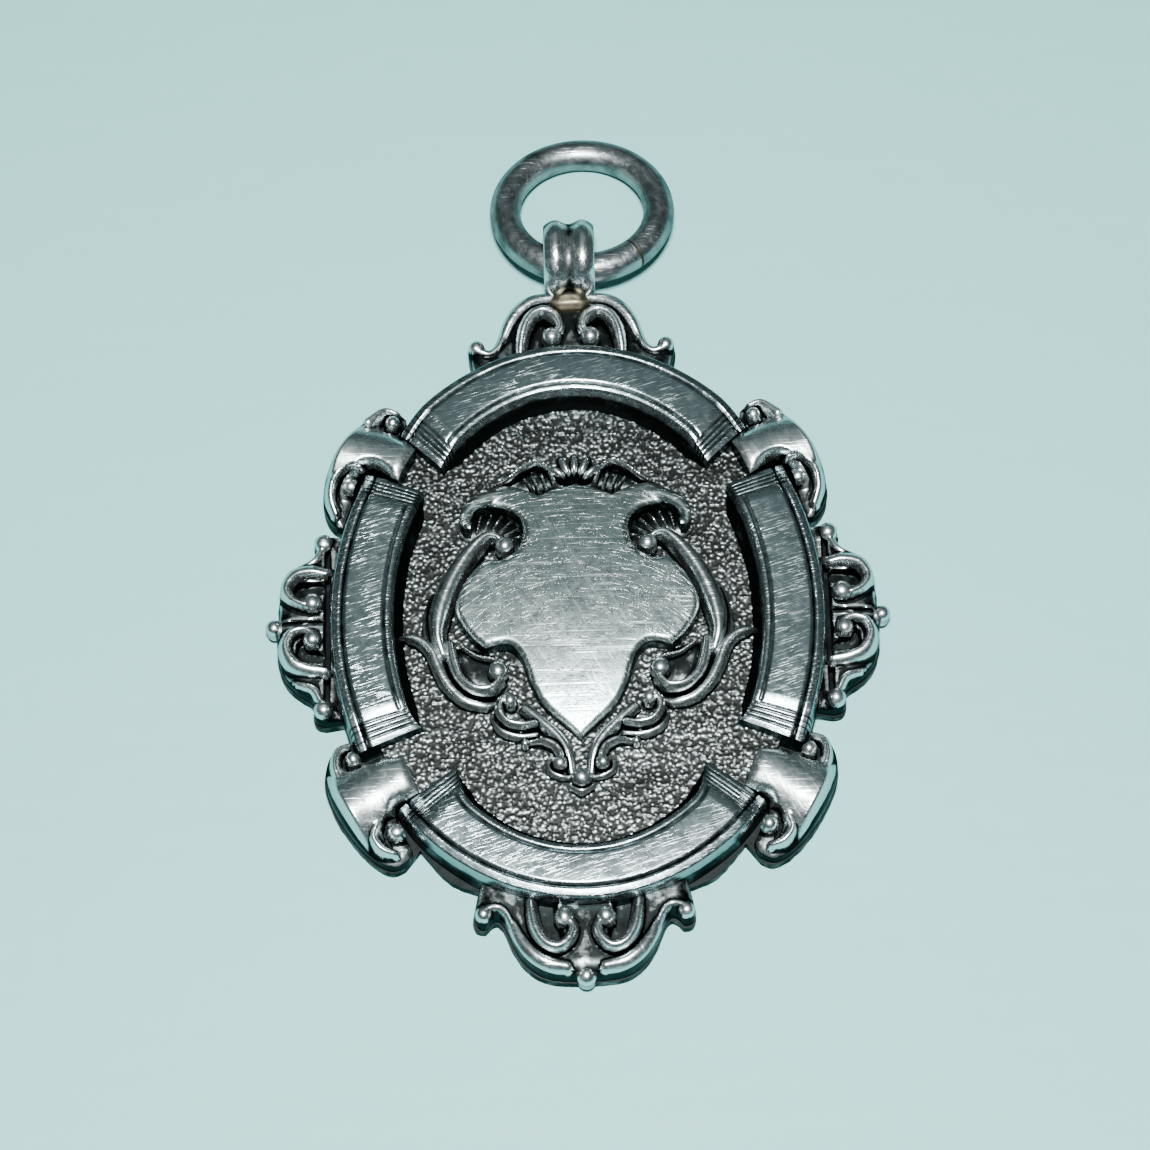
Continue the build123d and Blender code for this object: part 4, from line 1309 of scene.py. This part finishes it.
ringTree = makeRingTree()
reach = ring["Ring Radius"] - ring["Hang"]
ringTilt = math.radians(ring["Tilt"])
ringValues = {
    **{label: ring[label] for label in ("Ring Radius", "Tilt", "Dents", "Highlight From")},
    "Centre X": ring["Offset X"], "Centre Y": bailCentre[1] + reach * math.cos(ringTilt),
    "Centre Z": bailCentre[2] - reach * math.sin(ringTilt),
}
seam, span = math.radians(ring["seamAngle"]), math.radians(ring["seamSpan"])
wireValues = {
    **ringValues, "Wire Radius": ring["Wire Radius"], "Start": seam + span / 2,
    "Span": 2 * math.pi - span,
}
ringMesh = growMesh("ringWire", bpy.data.meshes.new("empty"), ringTree, wireValues, "ringSilver")
finishPiece("jump_ring_wire", ringMesh, "ringSilver", "ring", "ring_silver", "jump_ring")
seamValues = {
    **ringValues, "Wire Radius": ring["Wire Radius"] - ring["seamSunk"], "Start": seam - span / 2,
    "Span": span, "Dents": 0.0, "Segments": 5,
}
seamMesh = growMesh("ringSeam", bpy.data.meshes.new("emptySeam"), ringTree, seamValues, "solderMetal")
finishPiece("ring_solder_seam", seamMesh, "solderMetal", "ring", "solder", "ring_solder")
print("ring made")


bail = {
    "outer": 1.75, "inner": 1.33, "halfWidth": 1.12, "ridge": 0.58, "groove": 0.19, "edgeFall": 0.26,
    "around": 160, "across": 44,
}


def bailSection():
    # Closed section of the strap: x along the eye, r out from its axis
    shape = bail
    rows = []
    for x in np.linspace(-shape["halfWidth"], shape["halfWidth"], shape["across"]):
        if abs(x) < shape["ridge"]:
            radius = shape["outer"] - shape["groove"] * math.cos(math.pi * x / (2 * shape["ridge"])) ** 2
        else:
            share = (abs(x) - shape["ridge"]) / (shape["halfWidth"] - shape["ridge"])
            radius = shape["outer"] - shape["edgeFall"] * share ** 2
        rows.append((x, radius, 0.5 - abs(abs(x) - shape["ridge"]) * 1.4 - 0.2))
    side, soft = shape["halfWidth"] + 0.01, 0.05
    edge, inner = rows[-1][1] - soft, shape["inner"] + soft
    rows += [(side, edge, -0.2), (side, inner, 0.3)]
    for x in np.linspace(shape["halfWidth"] - 0.04, -shape["halfWidth"] + 0.04, 12):
        rows.append((x, shape["inner"], 0.6))
    rows += [(-side, inner, 0.3), (-side, edge, -0.2)]
    return rows


def bailMesh():
    section = bailSection()
    verts, faces, oxideAndShade = [], [], []
    for step in range(bail["around"]):
        turn = 2 * math.pi * step / bail["around"]
        for x, radius, dark in section:
            wave = 1 + 0.004 * math.sin(3 * turn + 2 * x) + 0.003 * math.sin(7 * turn - 3 * x)
            out, up = radius * wave * math.cos(turn), radius * wave * math.sin(turn)
            verts.append((x, bailCentre[1] + out, bailCentre[2] + up))
            groove = max(0, 1 - abs(x) / 0.4) * 0.7 if radius > bail["inner"] + 0.1 else 0
            foot = max(0, -math.cos(turn)) * max(0, 0.6 - math.sin(turn)) * 0.5
            oxideAndShade.append(min(1.2, (0.6 if radius < bail["inner"] + 0.02 else groove) + foot - 0.1))
    count = len(section)
    for step in range(bail["around"]):
        here, after = step * count, (step + 1) % bail["around"] * count
        for index in range(count):
            following = (index + 1) % count
            faces.append((here + index, after + index, after + following, here + following))
    return meshFrom("bailStrap", np.array(verts), faces, oxideAndShade, 50)


finishPiece("bail_loop_strap", bailMesh(), "bailSilver", "medal", "bail_silver", "bail_loop")

solder = {"centre": (0.0, 15.5, 1.5), "size": (0.92, 0.52, 0.46), "lumps": 0.03, "rings": 24,
          "around": 48}


def poleNumber(ringIndex, step, rings, around):
    # Number of a point on a globe whose two poles are single points
    if ringIndex == 0:
        return 0
    if ringIndex == rings:
        return 1 + (rings - 1) * around
    return 1 + (ringIndex - 1) * around + step % around


def solderMesh():
    # Lump of solder filling the angle between the finial and the strap
    verts, faces = [], []
    rings, around = solder["rings"], solder["around"]
    centre, size = np.array(solder["centre"]), np.array(solder["size"])
    for ringIndex in range(rings + 1):
        fall = math.pi * ringIndex / rings
        for step in range(1 if ringIndex in (0, rings) else around):
            turn = 2 * math.pi * step / around
            x, y, z = math.sin(fall) * math.cos(turn), math.sin(fall) * math.sin(turn), math.cos(fall)
            lump = 1 + solder["lumps"] * (math.sin(5 * x + 2 * y) + math.sin(7 * y + 4 * z + 1))
            verts.append(tuple(centre + np.array([x, y, z]) * size * lump))
    for ringIndex in range(rings):
        for step in range(around):
            corners = [
                poleNumber(ringIndex + down, step + along, rings, around)
                for down, along in ((0, 0), (1, 0), (1, 1), (0, 1))
            ]
            face = tuple(dict.fromkeys(corners))
            if len(face) > 2:
                faces.append(face)
    return meshFrom("solderLump", np.array(verts), faces)


finishPiece("bail_solder_lump", solderMesh(), "solderMetal", "medal", "solder", "bail_solder")
print("bail made")


backPlate = {"proud": 0.05, "jag": 0.035, "thick": 0.5, "bins": 1440,
             "overhang": ((5.6, -11.6), (-5.6, -11.6))}


def backOutline():
    # The outline of everything above, a little proud and sawn by hand
    count = backPlate["bins"]
    angle = np.linspace(-math.pi, math.pi, count, endpoint=False)
    radius = 1 / np.sqrt((np.cos(angle) / (ovalX - 0.02)) ** 2 + (np.sin(angle) / (ovalY - 0.02)) ** 2)
    outlines = [endFinial["runs"], [turned(run, -1) for run in endFinial["runs"]]]
    for shape in (sideFinial, furls["top"], furls["bottom"]):
        outlines += [mirrorRuns(shape["runs"], side) for side in (1, -1)]
    for runs in outlines:
        loop = joinRuns(runs, 0.02)
        bearing = np.arctan2(loop[:, 1], loop[:, 0]) + math.pi
        bins = (bearing / (2 * math.pi) * count).astype(int) % count
        np.maximum.at(radius, bins, np.hypot(loop[:, 0], loop[:, 1]))
    for x, y in backPlate["overhang"]:
        gap = np.angle(np.exp(1j * (angle - math.atan2(y, x))))
        radius += 0.3 * np.exp(-(gap / 0.10) ** 2)
    saw = np.random.RandomState(7).uniform(-1, 1, count)
    saw = np.convolve(np.concatenate([saw[-2:], saw, saw[:2]]), [0.2, 0.2, 0.2, 0.2, 0.2], "valid")
    radius += backPlate["proud"] + backPlate["jag"] * saw
    return np.column_stack([radius * np.cos(angle), radius * np.sin(angle)])


def backPlateMesh():
    loop = backOutline()
    faces = triangulate(loop, len(loop))[1]
    verts, faces = closeSolid(np.column_stack([loop, np.full(len(loop), backPlate["thick"])]), faces, 0.0)
    return meshFrom("backSheet", verts, faces, np.full(len(loop), 0.9))


finishPiece("back_plate_sheet", backPlateMesh(), "backSilver", "medal", "satin_silver", "back_plate")
print("back plate made")


table = {"half": 0.6, "color": (0.178, 0.43, 0.42, 1), "rough": 0.6, "dimples": 620.0, "relief": 0.35}


def makeTable():
    mesh = bpy.data.meshes.new("tableTop")
    half = table["half"]
    mesh.from_pydata([(-half, -half, 0), (half, -half, 0), (half, half, 0), (-half, half, 0)], [],
                     [(0, 1, 2, 3)])
    top = bpy.data.objects.new("tableTop", mesh)
    bpy.context.scene.collection.objects.link(top)
    paint = bpy.data.materials.new("paleTable")
    paint.use_nodes = True
    shader = paint.node_tree.nodes["Principled BSDF"]
    shader.inputs["Base Color"].default_value = table["color"]
    shader.inputs["Roughness"].default_value = table["rough"]
    links = paint.node_tree.links
    place = addNode(paint.node_tree, "ShaderNodeTexCoord")
    cells = {"Scale": table["dimples"], "Randomness": 0.35}
    dimples = addNode(paint.node_tree, "ShaderNodeTexVoronoi", cells, feature="SMOOTH_F1")
    relief = addNode(paint.node_tree, "ShaderNodeBump", {"Strength": table["relief"], "Distance": 0.0001})
    links.new(place.outputs["Object"], dimples.inputs["Vector"])
    links.new(dimples.outputs["Distance"], relief.inputs["Height"])
    links.new(relief.outputs["Normal"], shader.inputs["Normal"])
    mesh.materials.append(paint)


# Metres and watts: a small lamp near the eye, and a wide faint one behind the ring
lamps = {
    "flash": {"place": (0.0, -0.038, 0.166), "target": (0, 0.003, 0), "size": 0.022, "power": 1.15,
              "color": (1, 1, 1)},
    "ceiling": {"place": (0.0, 0.35, 0.5), "target": (0, 0, 0), "size": 0.5, "power": 0.10,
                "color": (0.8, 1, 1)},
}
roomColor = (0.07, 0.10, 0.103, 1)


def addLamp(name, settings):
    light = bpy.data.lights.new(name, "AREA")
    light.shape = "DISK"
    light.size = settings["size"]
    light.energy = settings["power"]
    light.color = settings["color"]
    lamp = bpy.data.objects.new(name, light)
    bpy.context.scene.collection.objects.link(lamp)
    place, target = Vector(settings["place"]), Vector(settings["target"])
    lamp.location = place
    lamp.rotation_euler = (target - place).to_track_quat("-Z", "Y").to_euler()


camera = {"target": (-0.000077, 0.00205, 0.0015), "distance": 0.1612, "tilt": 25.0, "roll": 1.4,
          "lens": 117.0}


def makeCamera():
    tilt = math.radians(camera["tilt"])
    target = Vector(camera["target"])
    back = Vector((0, -math.sin(tilt), math.cos(tilt)))
    data = bpy.data.cameras.new("camera")
    data.lens = camera["lens"]
    data.sensor_width = 36.0
    data.clip_start = 0.005
    holder = bpy.data.objects.new("camera", data)
    bpy.context.scene.collection.objects.link(holder)
    holder.location = target + back * camera["distance"]
    facing = (-back).to_track_quat("-Z", "Y")
    holder.rotation_mode = "QUATERNION"
    roll = Matrix.Rotation(math.radians(-camera["roll"]), 4, "Z").to_quaternion()
    holder.rotation_quaternion = facing @ roll
    bpy.context.scene.camera = holder


makeTable()
makeCamera()
for name, settings in lamps.items():
    addLamp(name, settings)
world = bpy.data.worlds.new("room")
world.use_nodes = True
world.node_tree.nodes["Background"].inputs["Color"].default_value = roomColor
bpy.context.scene.world = world
print("stage made")
